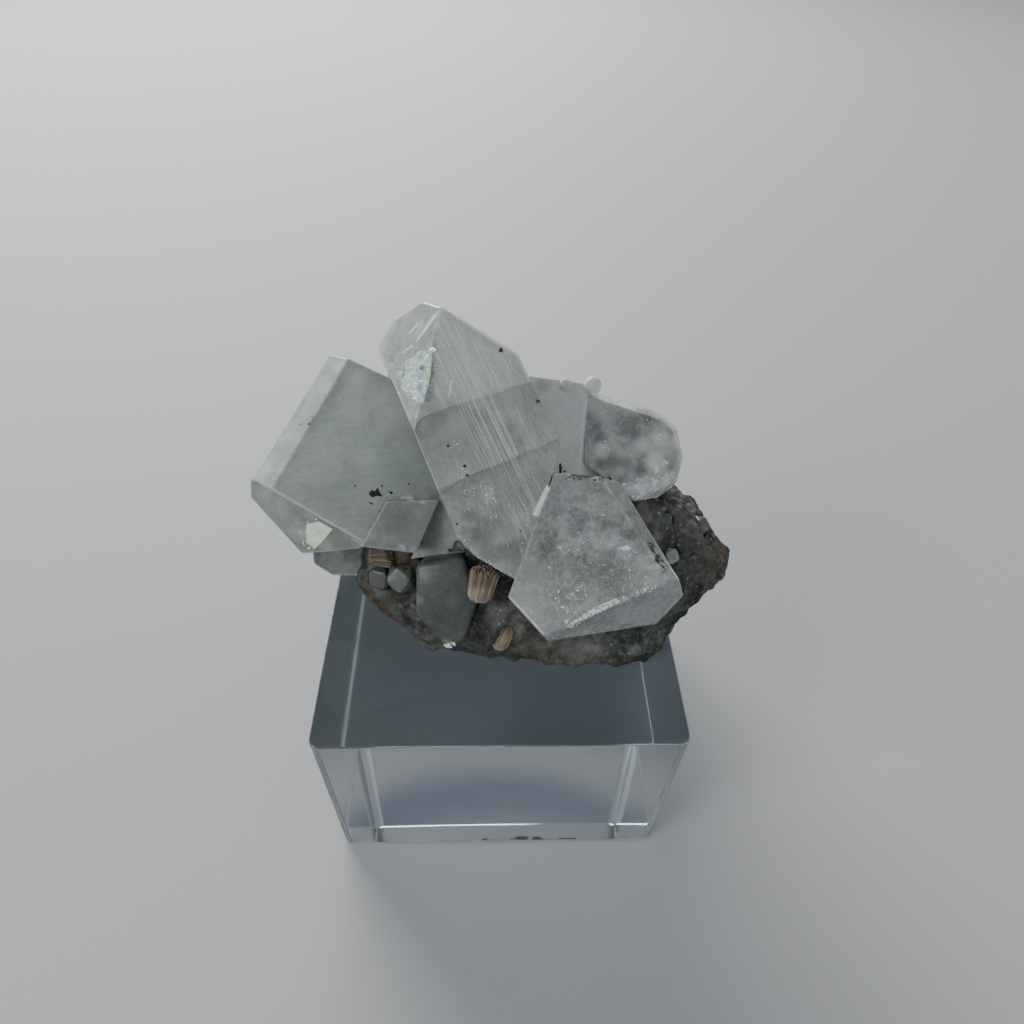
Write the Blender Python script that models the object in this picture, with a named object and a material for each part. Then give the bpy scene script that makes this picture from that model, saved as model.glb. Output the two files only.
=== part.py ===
# Apophyllite crystals on a piece of basalt, standing on a clear acrylic block.
# The block is centred on the origin and stands on z = 0. +X is right and -Y is the front. Metres.
# Lengths in the tables are in millimetres and are turned to metres by MM.

from collections import namedtuple
from math import cos, radians, sin, tau

import bmesh
import bpy
from mathutils import Vector, noise

MM = 0.001

# Display block
BLOCK_SIDE = 38.1
BLOCK_HEIGHT = 25.4
BLOCK_EDGE_ROUND = 1.1
BLOCK_TOP_EDGE = 0.25

# Clearance between pieces that touch
GAP = 0.3

# A crystal is cut from a rough block by flat faces. The front face is `front` from the middle along
# `facing`, the back face `back` behind it. Each other face is (turn, lean, distance): turn is its
# direction round `facing`, counted anticlockwise from level right as seen from the front, lean is
# how far it looks towards the front, both in degrees, and distance is from the middle.
Crystal = namedtuple("Crystal", "middle facing front back faces")
ROUGH_CUBE = 120

CENTRAL = Crystal((-1.9, -0.2, 48.6), (0.08, -0.70, 0.71), 5.5, 5.0, [
    (21, 0, 5.6),
    (198, 0, 5.6),
    (55, 5, 8.0),
    (163, 38, 8.3),
    (109, 5, 13.5),
    (141, 5, 13.0),
    (339, 5, 6.9),
    (219, -2, 7.7),
    (235, -3, 9.2),
])

LEFT_BLOCKY = Crystal((-18.2, 2.5, 45.4), (0.45, -0.70, 0.55), 5.0, 5.5, [
    (129, 22, 4.5),
    (127, -24, 2.9),
    (217, 0, 5.8),
    (48, 3, 8.8),
    (307, 0, 7.8),
])

LEFT_BLOCKY_INNER = Crystal(LEFT_BLOCKY.middle, LEFT_BLOCKY.facing, 5.0, 5.5, [
    (129, 0, -6.0),
    (249, 0, 4.8),
    (48, 3, 8.8),
    (307, 0, 12.5),
])

LEFT_STEP = Crystal((-8.5, 0.5, 41.0), (0.35, -0.72, 0.60), 2.6, 4.0, [
    (73, 0, -0.4),
    (133, 0, 3.0),
    (244, 0, 5.7),
    (319, 0, 1.6),
])

LEFT_WEDGE = Crystal((-5.0, 1.0, 39.0), (-0.25, -0.75, 0.61), 2.6, 4.0, [
    (30, 0, 0.8),
    (103, 0, 4.8),
    (167, 0, 1.2),
    (291, 0, 4.8),
])

LOW_LEFT = Crystal((-20.0, 5.0, 37.0), (-0.30, -0.85, 0.44), 3.5, 5.0, [
    (0, 0, 7.4),
    (103, 0, 2.3),
    (184, 0, 6.1),
    (233, 0, 4.6),
    (290, 0, 5.9),
])

LOW_LEFT_FOOT = Crystal((-17.5, 3.5, 32.0), (0.0, -0.85, 0.53), 2.5, 4.0, [
    (354, 0, 2.5),
    (90, 0, 2.0),
    (182, 0, 3.3),
    (235, 0, 4.2),
    (270, 0, 4.3),
])

RIGHT_FRONT = Crystal((8.4, -10.9, 42.4), (-0.22, -0.48, 0.85), 4.5, 9.5, [
    (102, 0, 7.6),
    (180, 0, 5.8),
    (243, 3, 7.4),
    (313, 18, 5.2),
    (273, -40, 3.6),
    (359, -25, 6.8),
    (48, -2, 5.5),
    (50, 42, 6.4),
])

RIGHT_BACK = Crystal((9.5, 6.0, 45.0), (0.05, -0.66, 0.75), 3.6, 4.0, [
    (80, 3, 4.1),
    (62, 3, 3.3),
    (180, 0, 8.0),
    (263, 0, 5.5),
    (352, 45, 2.4),
])

RIGHT_BACK_KNOB = Crystal((13.2, 6.1, 41.7), (0.20, -0.62, 0.76), 5.0, 4.0, [
    (68, -4, 4.5),
    (57, -4, 4.3),
    (34, -4, 4.6),
    (358, -4, 4.9),
    (333, -4, 5.2),
    (293, -4, 5.3),
    (266, -4, 5.1),
    (221, 0, 5.1),
    (165, 0, 7.0),
    (62, 38, 5.6),
    (34, 38, 5.8),
    (358, 38, 6.0),
    (325, 38, 6.2),
    (290, 38, 6.3),
])

BACK_UPRIGHT = Crystal((5.5, 9.5, 41.0), (0.25, 0.90, 0.36), 3.6, 3.6, [
    (0, 0, 3.2),
    (180, 0, 3.2),
    (60, 12, 5.2),
    (120, 12, 5.0),
    (270, 0, 5.5),
])

BACK_LEFT = Crystal((-8.5, 9.0, 39.5), (-0.35, 0.85, 0.40), 3.8, 3.8, [
    (15, 0, 4.2),
    (195, 0, 4.2),
    (105, 5, 4.6),
    (285, 0, 5.0),
    (60, 30, 5.8),
    (150, 30, 5.9),
])

CLUSTER = {
    "central": CENTRAL,
    "left_blocky": LEFT_BLOCKY,
    "left_blocky_inner": LEFT_BLOCKY_INNER,
    "left_step": LEFT_STEP,
    "left_wedge": LEFT_WEDGE,
    "low_left": LOW_LEFT,
    "low_left_foot": LOW_LEFT_FOOT,
    "right_front": RIGHT_FRONT,
    "right_back": RIGHT_BACK,
    "right_back_knob": RIGHT_BACK_KNOB,
    "back_upright": BACK_UPRIGHT,
    "back_left": BACK_LEFT,
}

LOWER_FRONT = Crystal((-6.5, -7.5, 31.5), (-0.15, -0.80, 0.58), 3.0, 3.0, [
    (106, 0, 6.2),
    (25, -10, 4.7),
    (348, -6, 3.4),
    (317, 0, 3.5),
    (231, 5, 1.0),
    (185, 0, 1.7),
])


def small_crystal(middle, facing, half, spin):
    """A small blocky crystal: a square prism with its corners cut off by low pyramid faces."""
    sides = [(spin + 90 * k, 0, half) for k in range(4)]
    corners = [(spin + 45 + 90 * k, SMALL_CORNER_LEAN, SMALL_CORNER_REACH * half) for k in range(4)]
    return Crystal(middle, facing, half, half, sides + corners)


SMALL_CORNER_LEAN = 38
SMALL_CORNER_REACH = 1.16

SMALL_CRYSTALS = {
    "apophyllite_small_left": small_crystal((-10.1, -4.7, 34.0), (-0.30, -0.75, 0.60), 1.25, 20),
    "apophyllite_small_edge": small_crystal((-12.5, -3.1, 32.3), (-0.35, -0.80, 0.50), 1.15, 50),
    "apophyllite_small_right": small_crystal((17.1, 0.2, 37.3), (0.35, -0.50, 0.79), 0.90, 10),
    "apophyllite_small_side": small_crystal((21.6, 1.1, 35.7), (0.55, -0.45, 0.70), 0.85, 30),
    "apophyllite_small_low": small_crystal((17.7, -2.9, 35.4), (0.35, -0.70, 0.62), 0.80, 55),
}

BEADS = {
    "bead_inner": small_crystal((6.4, 6.6, 50.1), (-0.20, -0.50, 0.84), 0.70, 15),
    "bead_outer": small_crystal((9.0, 6.6, 50.1), (0.20, -0.60, 0.78), 0.90, 40),
}

# Stilbite sheaves: middle, long axis, length, radius at the waist and at the flared ends
Sheaf = namedtuple("Sheaf", "middle axis length waist flare")
SHEAVES = {
    "stilbite_sheaf_front": Sheaf((-1.9, -8.0, 37.0), (0.22, 0.58, 0.78), 3.8, 1.25, 1.55),
    "stilbite_sheaf_low": Sheaf((0.3, -8.9, 29.6), (0.42, 0.50, 0.76), 3.4, 0.85, 1.15),
    "stilbite_sheaf_left": Sheaf((-12.3, -2.4, 34.8), (0.90, -0.25, 0.35), 3.2, 0.95, 1.35),
}
SHEAF_SIDES = 12
SHEAF_RINGS = 7
SHEAF_DOME_DROP = 0.35
SHEAF_DOME_POWER = 6
SHEAF_BODY_SHARE = 0.86

# Basalt: reach from the centre at every 30 degrees, counted from +X towards the back
MATRIX_CENTRE = (2.0, 1.0)
MATRIX_REACH = {
    "foot": [18.8, 17.0, 14.0, 12.0, 13.0, 15.6, 17.4, 13.2, 10.5, 9.6, 12.0, 18.0],
    "belly": [24.2, 20.6, 15.0, 13.0, 14.0, 16.6, 18.2, 13.8, 11.2, 9.6, 11.0, 14.8],
    "shoulder": [20.4, 18.0, 14.0, 12.5, 13.0, 15.5, 16.0, 10.6, 8.6, 7.8, 9.0, 14.0],
    "crown": [10.0, 11.0, 11.0, 10.5, 10.5, 10.5, 8.0, 4.5, 3.0, 3.0, 4.5, 7.0],
}
MATRIX_LEVELS = [
    (BLOCK_HEIGHT + GAP, "foot"),
    (30.0, "belly"),
    (36.0, "shoulder"),
    (41.0, "crown"),
]
MATRIX_TOP = 42.0
MATRIX_SIDES = 48
MATRIX_RINGS_PER_STEP = 3
MATRIX_LUMP = 1.1
MATRIX_LUMP_SIZE = 5.0
MATRIX_GRIT = 0.35
MATRIX_GRIT_SIZE = 1.8


def material(name, colour, roughness, alpha=1.0):
    """A Principled material in the colour of the piece."""
    mat = bpy.data.materials.new(name)
    mat.use_nodes = True
    shader = mat.node_tree.nodes["Principled BSDF"]
    shader.inputs["Base Color"].default_value = (*colour, 1.0)
    shader.inputs["Roughness"].default_value = roughness
    shader.inputs["Metallic"].default_value = 0.0
    shader.inputs["Alpha"].default_value = alpha
    return mat


def add_object(name, bm, mat):
    """Turn a bmesh into a named object with one material, faces pointing out."""
    bmesh.ops.recalc_face_normals(bm, faces=bm.faces)
    mesh = bpy.data.meshes.new(name)
    bm.to_mesh(mesh)
    bm.free()
    mesh.materials.append(mat)
    obj = bpy.data.objects.new(name, mesh)
    bpy.context.collection.objects.link(obj)
    return obj


def make_guide(obj):
    """Leave an object out of the finished part."""
    obj.hide_render = True
    obj.display_type = "WIRE"
    return obj


def facing_axes(facing):
    """Level right, up the face, and out of it."""
    out = Vector(facing).normalized()
    right = Vector((0, 0, 1)).cross(out).normalized()
    return right, out.cross(right), out


def face_planes(crystal, grow=0.0):
    """Each face of a crystal as its outward normal and its distance from the middle."""
    right, up, out = facing_axes(crystal.facing)
    planes = [(out, crystal.front + grow), (-out, crystal.back + grow)]
    for turn, lean, distance in crystal.faces:
        around = right * cos(radians(turn)) + up * sin(radians(turn))
        normal = around * cos(radians(lean)) + out * sin(radians(lean))
        planes.append((normal, distance + grow))
    return planes


def crystal_mesh(crystal, grow=0.0):
    """Cut a rough cube down to the crystal's faces."""
    bm = bmesh.new()
    bmesh.ops.create_cube(bm, size=ROUGH_CUBE * MM)
    for normal, distance in face_planes(crystal, grow):
        everything = bm.verts[:] + bm.edges[:] + bm.faces[:]
        cut = bmesh.ops.bisect_plane(
            bm, geom=everything, dist=1e-8, plane_co=normal * distance * MM, plane_no=normal,
            clear_outer=True)
        rim = [e for e in cut["geom_cut"] if isinstance(e, bmesh.types.BMEdge)]
        if rim:
            bmesh.ops.contextual_create(bm, geom=rim)
    bmesh.ops.translate(bm, verts=bm.verts, vec=Vector(crystal.middle) * MM)
    return bm


def boolean(obj, other, operation):
    """Join another solid to an object, or cut it away."""
    mod = obj.modifiers.new(f"{operation.lower()} {other.name}", "BOOLEAN")
    mod.operation = operation
    mod.object = other
    mod.solver = "EXACT"


def crystal_sockets(crystals, mat):
    """Cutters for the room that each crystal takes in its neighbours, with the clearance."""
    return {name: make_guide(add_object(f"socket_{name}", crystal_mesh(crystal, GAP), mat))
            for name, crystal in crystals.items()}


def make_block(mat):
    """Polished acrylic block with rounded upright edges."""
    bm = bmesh.new()
    bmesh.ops.create_cube(bm, size=1.0)
    bmesh.ops.scale(bm, verts=bm.verts, vec=Vector((BLOCK_SIDE, BLOCK_SIDE, BLOCK_HEIGHT)) * MM)
    bmesh.ops.translate(bm, verts=bm.verts, vec=(0, 0, BLOCK_HEIGHT / 2 * MM))
    upright = [e for e in bm.edges if abs((e.verts[0].co - e.verts[1].co).z) > BLOCK_HEIGHT / 2 * MM]
    bmesh.ops.bevel(bm, geom=upright, offset=BLOCK_EDGE_ROUND * MM, segments=4, profile=0.5,
                    affect="EDGES")
    level = [e for e in bm.edges if abs((e.verts[0].co - e.verts[1].co).z) < 0.01 * MM
             and len([f for f in e.link_faces if abs(f.normal.z) > 0.9]) == 1]
    bmesh.ops.bevel(bm, geom=level, offset=BLOCK_TOP_EDGE * MM, segments=1, affect="EDGES")
    return add_object("acrylic_block", bm, mat)


def reach(level, azimuth):
    """Smooth reach of the rock at one named level, azimuth in degrees."""
    values = MATRIX_REACH[level]
    place = azimuth / 30.0
    k = int(place) % 12
    blend = (1 - cos((place - int(place)) * tau / 2)) / 2
    return values[k] * (1 - blend) + values[(k + 1) % 12] * blend


def matrix_rings():
    """Heights of the rock's rings with the pair of levels that each lies between."""
    rings = []
    for (low, a), (high, b) in zip(MATRIX_LEVELS, MATRIX_LEVELS[1:]):
        for k in range(MATRIX_RINGS_PER_STEP):
            t = k / MATRIX_RINGS_PER_STEP
            rings.append((low + (high - low) * t, a, b, t))
    last_height, last = MATRIX_LEVELS[-1]
    rings.append((last_height, last, last, 0.0))
    return rings


def rough(point):
    """Outward push of the broken surface, lumps first and then grit."""
    lump = noise.noise(Vector(point) / MATRIX_LUMP_SIZE)
    grit = noise.noise(Vector(point) / MATRIX_GRIT_SIZE + Vector((7, 3, 5)))
    return MATRIX_LUMP * lump + MATRIX_GRIT * grit


def make_matrix_rough(mat):
    """The lump of basalt before the crystals' sockets, broken flat underneath."""
    bm = bmesh.new()
    rings = []
    for n, (height, a, b, t) in enumerate(matrix_rings()):
        ring = []
        for s in range(MATRIX_SIDES):
            azimuth = 360.0 * s / MATRIX_SIDES
            radius = reach(a, azimuth) * (1 - t) + reach(b, azimuth) * t
            direction = Vector((cos(radians(azimuth)), sin(radians(azimuth)), 0))
            point = Vector((*MATRIX_CENTRE, height)) + direction * radius
            point += direction * rough(point)
            if n > 0:
                point.z += MATRIX_GRIT * noise.noise(point / MATRIX_GRIT_SIZE)
            ring.append(bm.verts.new(point * MM))
        rings.append(ring)
    for low, high in zip(rings, rings[1:]):
        for s in range(MATRIX_SIDES):
            after = (s + 1) % MATRIX_SIDES
            bm.faces.new((low[s], low[after], high[after], high[s]))
    bm.faces.new(rings[0][::-1])
    top = bm.verts.new(Vector((*MATRIX_CENTRE, MATRIX_TOP)) * MM)
    for s in range(MATRIX_SIDES):
        bm.faces.new((rings[-1][s], rings[-1][(s + 1) % MATRIX_SIDES], top))
    bmesh.ops.triangulate(bm, faces=[f for f in bm.faces if len(f.verts) == 4])
    return add_object("rock_before_sockets", bm, mat)


def sheaf_mesh(sheaf, grow=0.0):
    """A sheaf of stilbite blades: round, pinched at the waist, domed at both ends."""
    bm = bmesh.new()
    half = sheaf.length / 2 + grow
    turn = Vector((0, 0, 1)).rotation_difference(Vector(sheaf.axis)).to_matrix()
    rings = []
    for n in range(SHEAF_RINGS):
        along = 2 * n / (SHEAF_RINGS - 1) - 1
        dome = 1 - SHEAF_DOME_DROP * abs(along) ** SHEAF_DOME_POWER
        radius = (sheaf.waist + (sheaf.flare - sheaf.waist) * along ** 2) * dome + grow
        ring = []
        for s in range(SHEAF_SIDES):
            angle = tau * s / SHEAF_SIDES
            point = Vector((radius * cos(angle), radius * sin(angle), along * half * SHEAF_BODY_SHARE))
            ring.append(bm.verts.new((turn @ point + Vector(sheaf.middle)) * MM))
        rings.append(ring)
    for low, high in zip(rings, rings[1:]):
        for s in range(SHEAF_SIDES):
            after = (s + 1) % SHEAF_SIDES
            bm.faces.new((low[s], low[after], high[after], high[s]))
    for ring, end in ((rings[0], -1), (rings[-1], 1)):
        tip = bm.verts.new((turn @ Vector((0, 0, end * half)) + Vector(sheaf.middle)) * MM)
        for s in range(SHEAF_SIDES):
            bm.faces.new((ring[s], ring[(s + 1) % SHEAF_SIDES], tip))
    bmesh.ops.triangulate(bm, faces=bm.faces)
    return bm


def keep_largest_body(bm):
    """Delete the crumbs that a cut leaves loose."""
    todo = set(bm.verts)
    bodies = []
    while todo:
        stack = [todo.pop()]
        body = set(stack)
        while stack:
            for edge in stack.pop().link_edges:
                for vert in edge.verts:
                    if vert not in body:
                        body.add(vert)
                        todo.discard(vert)
                        stack.append(vert)
        bodies.append(body)
    bodies.sort(key=len)
    for body in bodies[:-1]:
        bmesh.ops.delete(bm, geom=list(body), context="VERTS")


def applied(obj):
    """The mesh of an object with its modifiers."""
    bpy.context.view_layer.update()
    evaluated = obj.evaluated_get(bpy.context.evaluated_depsgraph_get())
    bm = bmesh.new()
    bm.from_mesh(evaluated.to_mesh())
    evaluated.to_mesh_clear()
    return bm


def main():
    for obj in list(bpy.data.objects):
        bpy.data.objects.remove(obj)

    acrylic = material("acrylic", (0.86, 0.89, 0.90), 0.03, 0.35)
    basalt = material("basalt", (0.055, 0.060, 0.050), 0.85)
    clear = material("apophyllite", (0.60, 0.66, 0.64), 0.08, 0.6)
    peach = material("stilbite", (0.52, 0.34, 0.22), 0.55)

    make_block(acrylic)

    cluster = None
    for name, crystal in {**CLUSTER, **BEADS}.items():
        piece = add_object(f"crystal_{name}", crystal_mesh(crystal), clear)
        if cluster is None:
            cluster = piece
            cluster.name = "apophyllite_cluster"
        else:
            boolean(cluster, make_guide(piece), "UNION")

    loose_crystals = {"apophyllite_lower_front": LOWER_FRONT, **SMALL_CRYSTALS}
    grown_sockets = crystal_sockets(CLUSTER, basalt)
    loose_sockets = crystal_sockets(loose_crystals, basalt)
    for name, sheaf in SHEAVES.items():
        loose_sockets[name] = make_guide(add_object(f"socket_{name}", sheaf_mesh(sheaf, GAP), basalt))

    rock = make_guide(make_matrix_rough(basalt))
    for socket in [*grown_sockets.values(), *loose_sockets.values()]:
        boolean(rock, socket, "DIFFERENCE")
    cut_rock = applied(rock)
    keep_largest_body(cut_rock)
    add_object("basalt_matrix", cut_rock, basalt)

    for name, crystal in loose_crystals.items():
        piece = add_object(name, crystal_mesh(crystal), clear)
        for socket in grown_sockets.values():
            boolean(piece, socket, "DIFFERENCE")
    for name, sheaf in SHEAVES.items():
        piece = add_object(name, sheaf_mesh(sheaf), peach)
        for socket in [*grown_sockets.values(), loose_sockets["apophyllite_lower_front"]]:
            boolean(piece, socket, "DIFFERENCE")


main()
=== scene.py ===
import random
from math import cos, pi, radians, sin

import bpy
from mathutils import Matrix, Vector
from mathutils.bvhtree import BVHTree


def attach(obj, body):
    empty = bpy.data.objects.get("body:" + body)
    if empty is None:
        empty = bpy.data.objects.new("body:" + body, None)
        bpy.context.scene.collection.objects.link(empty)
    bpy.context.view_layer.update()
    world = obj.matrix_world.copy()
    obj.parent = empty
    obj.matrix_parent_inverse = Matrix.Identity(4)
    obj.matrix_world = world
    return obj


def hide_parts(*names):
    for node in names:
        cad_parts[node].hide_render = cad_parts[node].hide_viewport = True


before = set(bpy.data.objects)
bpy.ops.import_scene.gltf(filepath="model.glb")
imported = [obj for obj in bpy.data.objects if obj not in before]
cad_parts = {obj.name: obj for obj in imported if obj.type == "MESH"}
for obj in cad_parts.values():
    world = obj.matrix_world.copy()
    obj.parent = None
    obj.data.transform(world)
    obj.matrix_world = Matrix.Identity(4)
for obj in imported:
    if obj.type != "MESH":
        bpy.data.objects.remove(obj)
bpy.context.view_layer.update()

# Camera.
# The photograph was taken by hand from above and in front, a hand's width away from the specimen.

MM = 0.001
PHOTO_SIDE = 1024
CAMERA_PLACE = Vector((-1.25, -51.54, 91.56)) * MM
CAMERA_TURN = radians(-2.68)
CAMERA_TILT = radians(45.56)
CAMERA_ROLL = radians(1.94)
CAMERA_FOCUS = 709.5
SENSOR = 36.0

camera_data = bpy.data.cameras.new("camera")
camera_data.sensor_width = SENSOR
camera_data.lens = SENSOR * CAMERA_FOCUS / PHOTO_SIDE
camera_data.clip_start = 1 * MM
camera_data.clip_end = 20.0
camera = bpy.data.objects.new("camera", camera_data)
bpy.context.scene.collection.objects.link(camera)
camera_axes = (Matrix.Rotation(CAMERA_TURN, 3, "Z")
               @ Matrix.Rotation(pi / 2 - CAMERA_TILT, 3, "X")
               @ Matrix.Rotation(CAMERA_ROLL, 3, "Z"))
camera.matrix_world = Matrix.Translation(CAMERA_PLACE) @ camera_axes.to_4x4()
bpy.context.scene.camera = camera


def sight(pixel):
    """Direction in which the camera sees a pixel of the photograph."""
    across = (pixel[0] - PHOTO_SIDE / 2) / CAMERA_FOCUS
    down = (pixel[1] - PHOTO_SIDE / 2) / CAMERA_FOCUS
    return (camera_axes @ Vector((across, -down, -1))).normalized()


# Floor and studio.
# A plain pale floor, a wide soft light behind and to the left, a weaker one from the left front, and a
# plain surround that is palest near the horizon, with a soft band higher up that the block's front shows.

FLOOR_SIDE = 6.0
FLOOR_GAP = 0.12
FLOOR_COLOUR = (0.44, 0.45, 0.46)


def new_material(name):
    """An empty node material with its Principled shader."""
    mat = bpy.data.materials.new(name)
    mat.use_nodes = True
    return mat, mat.node_tree.nodes["Principled BSDF"]


def deselect():
    """Leave nothing selected, the CAD nodes included."""
    bpy.ops.object.select_all(action="DESELECT")


deselect()
bpy.ops.mesh.primitive_plane_add(size=FLOOR_SIDE, location=(0, 0, -FLOOR_GAP * MM))
floor = bpy.context.object
floor.name = "floor"
floor_paint, floor_shader = new_material("floor_paint")
floor_shader.inputs["Base Color"].default_value = (*FLOOR_COLOUR, 1)
floor_shader.inputs["Roughness"].default_value = 0.7
floor.data.materials.append(floor_paint)


def add_softbox(name, place, aim, width, height, power):
    """A soft rectangular lamp at a place, turned to its aim."""
    data = bpy.data.lights.new(name, "AREA")
    data.shape = "RECTANGLE"
    data.size = width
    data.size_y = height
    data.energy = power
    lamp = bpy.data.objects.new(name, data)
    lamp.location = place
    lamp.rotation_euler = (Vector(aim) - Vector(place)).to_track_quat("-Z", "Y").to_euler()
    bpy.context.scene.collection.objects.link(lamp)


SUBJECT = (0, 0, 0.04)
add_softbox("behind", (-0.22, 0.55, 0.36), SUBJECT, 0.55, 0.26, 6.5)
add_softbox("left_front", (-0.50, -0.30, 0.38), SUBJECT, 0.30, 0.30, 1.5)

world = bpy.data.worlds.new("studio")
world.use_nodes = True
surround = world.node_tree
direction = surround.nodes.new("ShaderNodeTexCoord")
height = surround.nodes.new("ShaderNodeSeparateXYZ")
surround.links.new(direction.outputs["Generated"], height.inputs["Vector"])
fade = surround.nodes.new("ShaderNodeValToRGB")
SKY = [(0.10, (0.62, 0.64, 0.66)), (0.86, (0.23, 0.245, 0.26)), (0.898, (0.55, 0.53, 0.53)),
       (0.908, (0.52, 0.51, 0.51)), (0.918, (0.26, 0.295, 0.35)), (0.930, (0.26, 0.295, 0.35)),
       (0.937, (0.50, 0.50, 0.50)), (0.955, (0.44, 0.445, 0.45)), (1.0, (0.20, 0.21, 0.225))]
while len(fade.color_ramp.elements) < len(SKY):
    fade.color_ramp.elements.new(0.5)
for element, (place, colour) in zip(fade.color_ramp.elements, SKY):
    element.position = place
    element.color = (*colour, 1)
surround.links.new(height.outputs["Z"], fade.inputs["Fac"])
surround.links.new(fade.outputs["Color"], surround.nodes["Background"].inputs["Color"])
bpy.context.scene.world = world

# Display block.
# Clear cast acrylic, 1.5 inch square and 1 inch high, with polished faces and upright edges rounded and left
# a little matt, so they show as soft pale bars through the clear block.

BLOCK_SIDE = 38.1
BLOCK_HEIGHT = 25.4
BLOCK_EDGE_ROUND = 1.1
BLOCK_ARRIS = 0.22
ACRYLIC_IOR = 1.49


def edit(obj):
    """Open an object for editing with nothing selected on it."""
    deselect()
    obj.select_set(True)
    bpy.context.view_layer.objects.active = obj
    bpy.ops.object.mode_set(mode="EDIT")
    bpy.ops.mesh.select_all(action="DESELECT")


def done():
    """Close the edit."""
    bpy.ops.object.mode_set(mode="OBJECT")


def apply_modifiers(obj):
    """Apply an object's modifiers in their order."""
    deselect()
    obj.select_set(True)
    bpy.context.view_layer.objects.active = obj
    for mod in list(obj.modifiers):
        bpy.ops.object.modifier_apply(modifier=mod.name)


def settle(obj):
    """Move an object's place into its mesh."""
    deselect()
    obj.select_set(True)
    bpy.context.view_layer.objects.active = obj
    bpy.ops.object.transform_apply(location=True, rotation=True, scale=True)


def smooth_by_angle(obj, degrees):
    """Shade smooth, with edges sharper than the angle kept sharp."""
    deselect()
    obj.select_set(True)
    bpy.context.view_layer.objects.active = obj
    bpy.ops.object.shade_smooth_by_angle(angle=radians(degrees))


deselect()
bpy.ops.mesh.primitive_cube_add(size=1, location=(0, 0, BLOCK_HEIGHT / 2 * MM))
block = bpy.context.object
block.name = "clear_block"
block.dimensions = (BLOCK_SIDE * MM, BLOCK_SIDE * MM, BLOCK_HEIGHT * MM)
settle(block)
edit(block)
bpy.ops.mesh.select_mode(type="EDGE")
done()
for e in block.data.edges:
    ends = [block.data.vertices[v].co for v in e.vertices]
    e.select = abs(ends[0].z - ends[1].z) > BLOCK_HEIGHT / 2 * MM
bpy.ops.object.mode_set(mode="EDIT")
bpy.ops.mesh.bevel(offset=BLOCK_EDGE_ROUND * MM, segments=8, affect="EDGES")
done()
arris = block.modifiers.new("arris", "BEVEL")
arris.width = BLOCK_ARRIS * MM
arris.segments = 3
arris.limit_method = "ANGLE"
arris.angle_limit = radians(50)
apply_modifiers(block)
smooth_by_angle(block, 35)
flatten = block.modifiers.new("flat faces", "WEIGHTED_NORMAL")
flatten.keep_sharp = True
apply_modifiers(block)


matt = block.data.attributes.new("matt", "FLOAT", "FACE")
for face in block.data.polygons:
    upright = abs(face.normal.z) < 0.3
    matt.data[face.index].value = float(upright and max(abs(face.normal.x), abs(face.normal.y)) < 0.9995)


def add_node(mat, kind, **values):
    """A shader node with its plain inputs set by name, spaces written as underscores."""
    node = mat.node_tree.nodes.new(kind)
    for name, value in values.items():
        if hasattr(node, name):
            setattr(node, name, value)
        else:
            node.inputs[name.replace("_", " ")].default_value = value
    return node


def join(mat, out_socket, in_socket):
    """Link one socket to another."""
    mat.node_tree.links.new(out_socket, in_socket)


def ramp(mat, source, stops):
    """A colour ramp over a value, its stops given as (place, grey or colour)."""
    node = mat.node_tree.nodes.new("ShaderNodeValToRGB")
    elements = node.color_ramp.elements
    while len(elements) < len(stops):
        elements.new(0.5)
    for element, (place, colour) in zip(elements, stops):
        element.position = place
        element.color = (*colour, 1) if isinstance(colour, tuple) else (colour, colour, colour, 1)
    join(mat, source, node.inputs["Fac"])
    return node.outputs["Color"]


def mix(mat, kind, factor, first, second):
    """Two colours mixed; a factor, a first or a second colour may be a plain value or a socket."""
    node = mat.node_tree.nodes.new("ShaderNodeMix")
    node.data_type = "RGBA"
    node.blend_type = kind
    for place, value in ((0, factor), (6, first), (7, second)):
        if isinstance(value, bpy.types.NodeSocket):
            join(mat, value, node.inputs[place])
        else:
            node.inputs[place].default_value = (*value, 1) if isinstance(value, tuple) else value
    return node.outputs[2]


acrylic, acrylic_shader = new_material("cast_acrylic")
acrylic_shader.inputs["Transmission Weight"].default_value = 1.0
acrylic_shader.inputs["IOR"].default_value = ACRYLIC_IOR
handled = add_node(acrylic, "ShaderNodeTexCoord")
smears = add_node(acrylic, "ShaderNodeTexNoise", Scale=60.0, Detail=6.0, Roughness=0.6)
join(acrylic, handled.outputs["Object"], smears.inputs["Vector"])
join(acrylic, ramp(acrylic, smears.outputs["Fac"], [(0.35, (0.93, 0.96, 0.97)), (0.65, (0.96, 0.98, 0.985))]),
     acrylic_shader.inputs["Base Color"])
rubbed = add_node(acrylic, "ShaderNodeAttribute", attribute_name="matt")
gloss = ramp(acrylic, smears.outputs["Fac"], [(0.40, 0.015), (0.75, 0.055)])
join(acrylic, mix(acrylic, "MIX", rubbed.outputs["Fac"], gloss, (0.42, 0.42, 0.42)),
     acrylic_shader.inputs["Roughness"])
# The grey-blue absorption is a slight tint of the acrylic and partly painted shade: it darkens the block's top and
# front.
acrylic_tint_and_shade = add_node(acrylic, "ShaderNodeVolumeAbsorption", Density=50.0)
acrylic_tint_and_shade.inputs["Color"].default_value = (0.67, 0.71, 0.74, 1)
join(acrylic, acrylic_tint_and_shade.outputs["Volume"], acrylic.node_tree.nodes["Material Output"].inputs["Volume"])
block.data.materials.append(acrylic)
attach(block, "root")
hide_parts("acrylic_block")

# Basalt.
# A broken lump of dark green-grey basalt, its hollows stained brown, that the crystals grew on.

ROCK_VOXEL = 0.23
ROCK_GROWTH = 0.36

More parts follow.
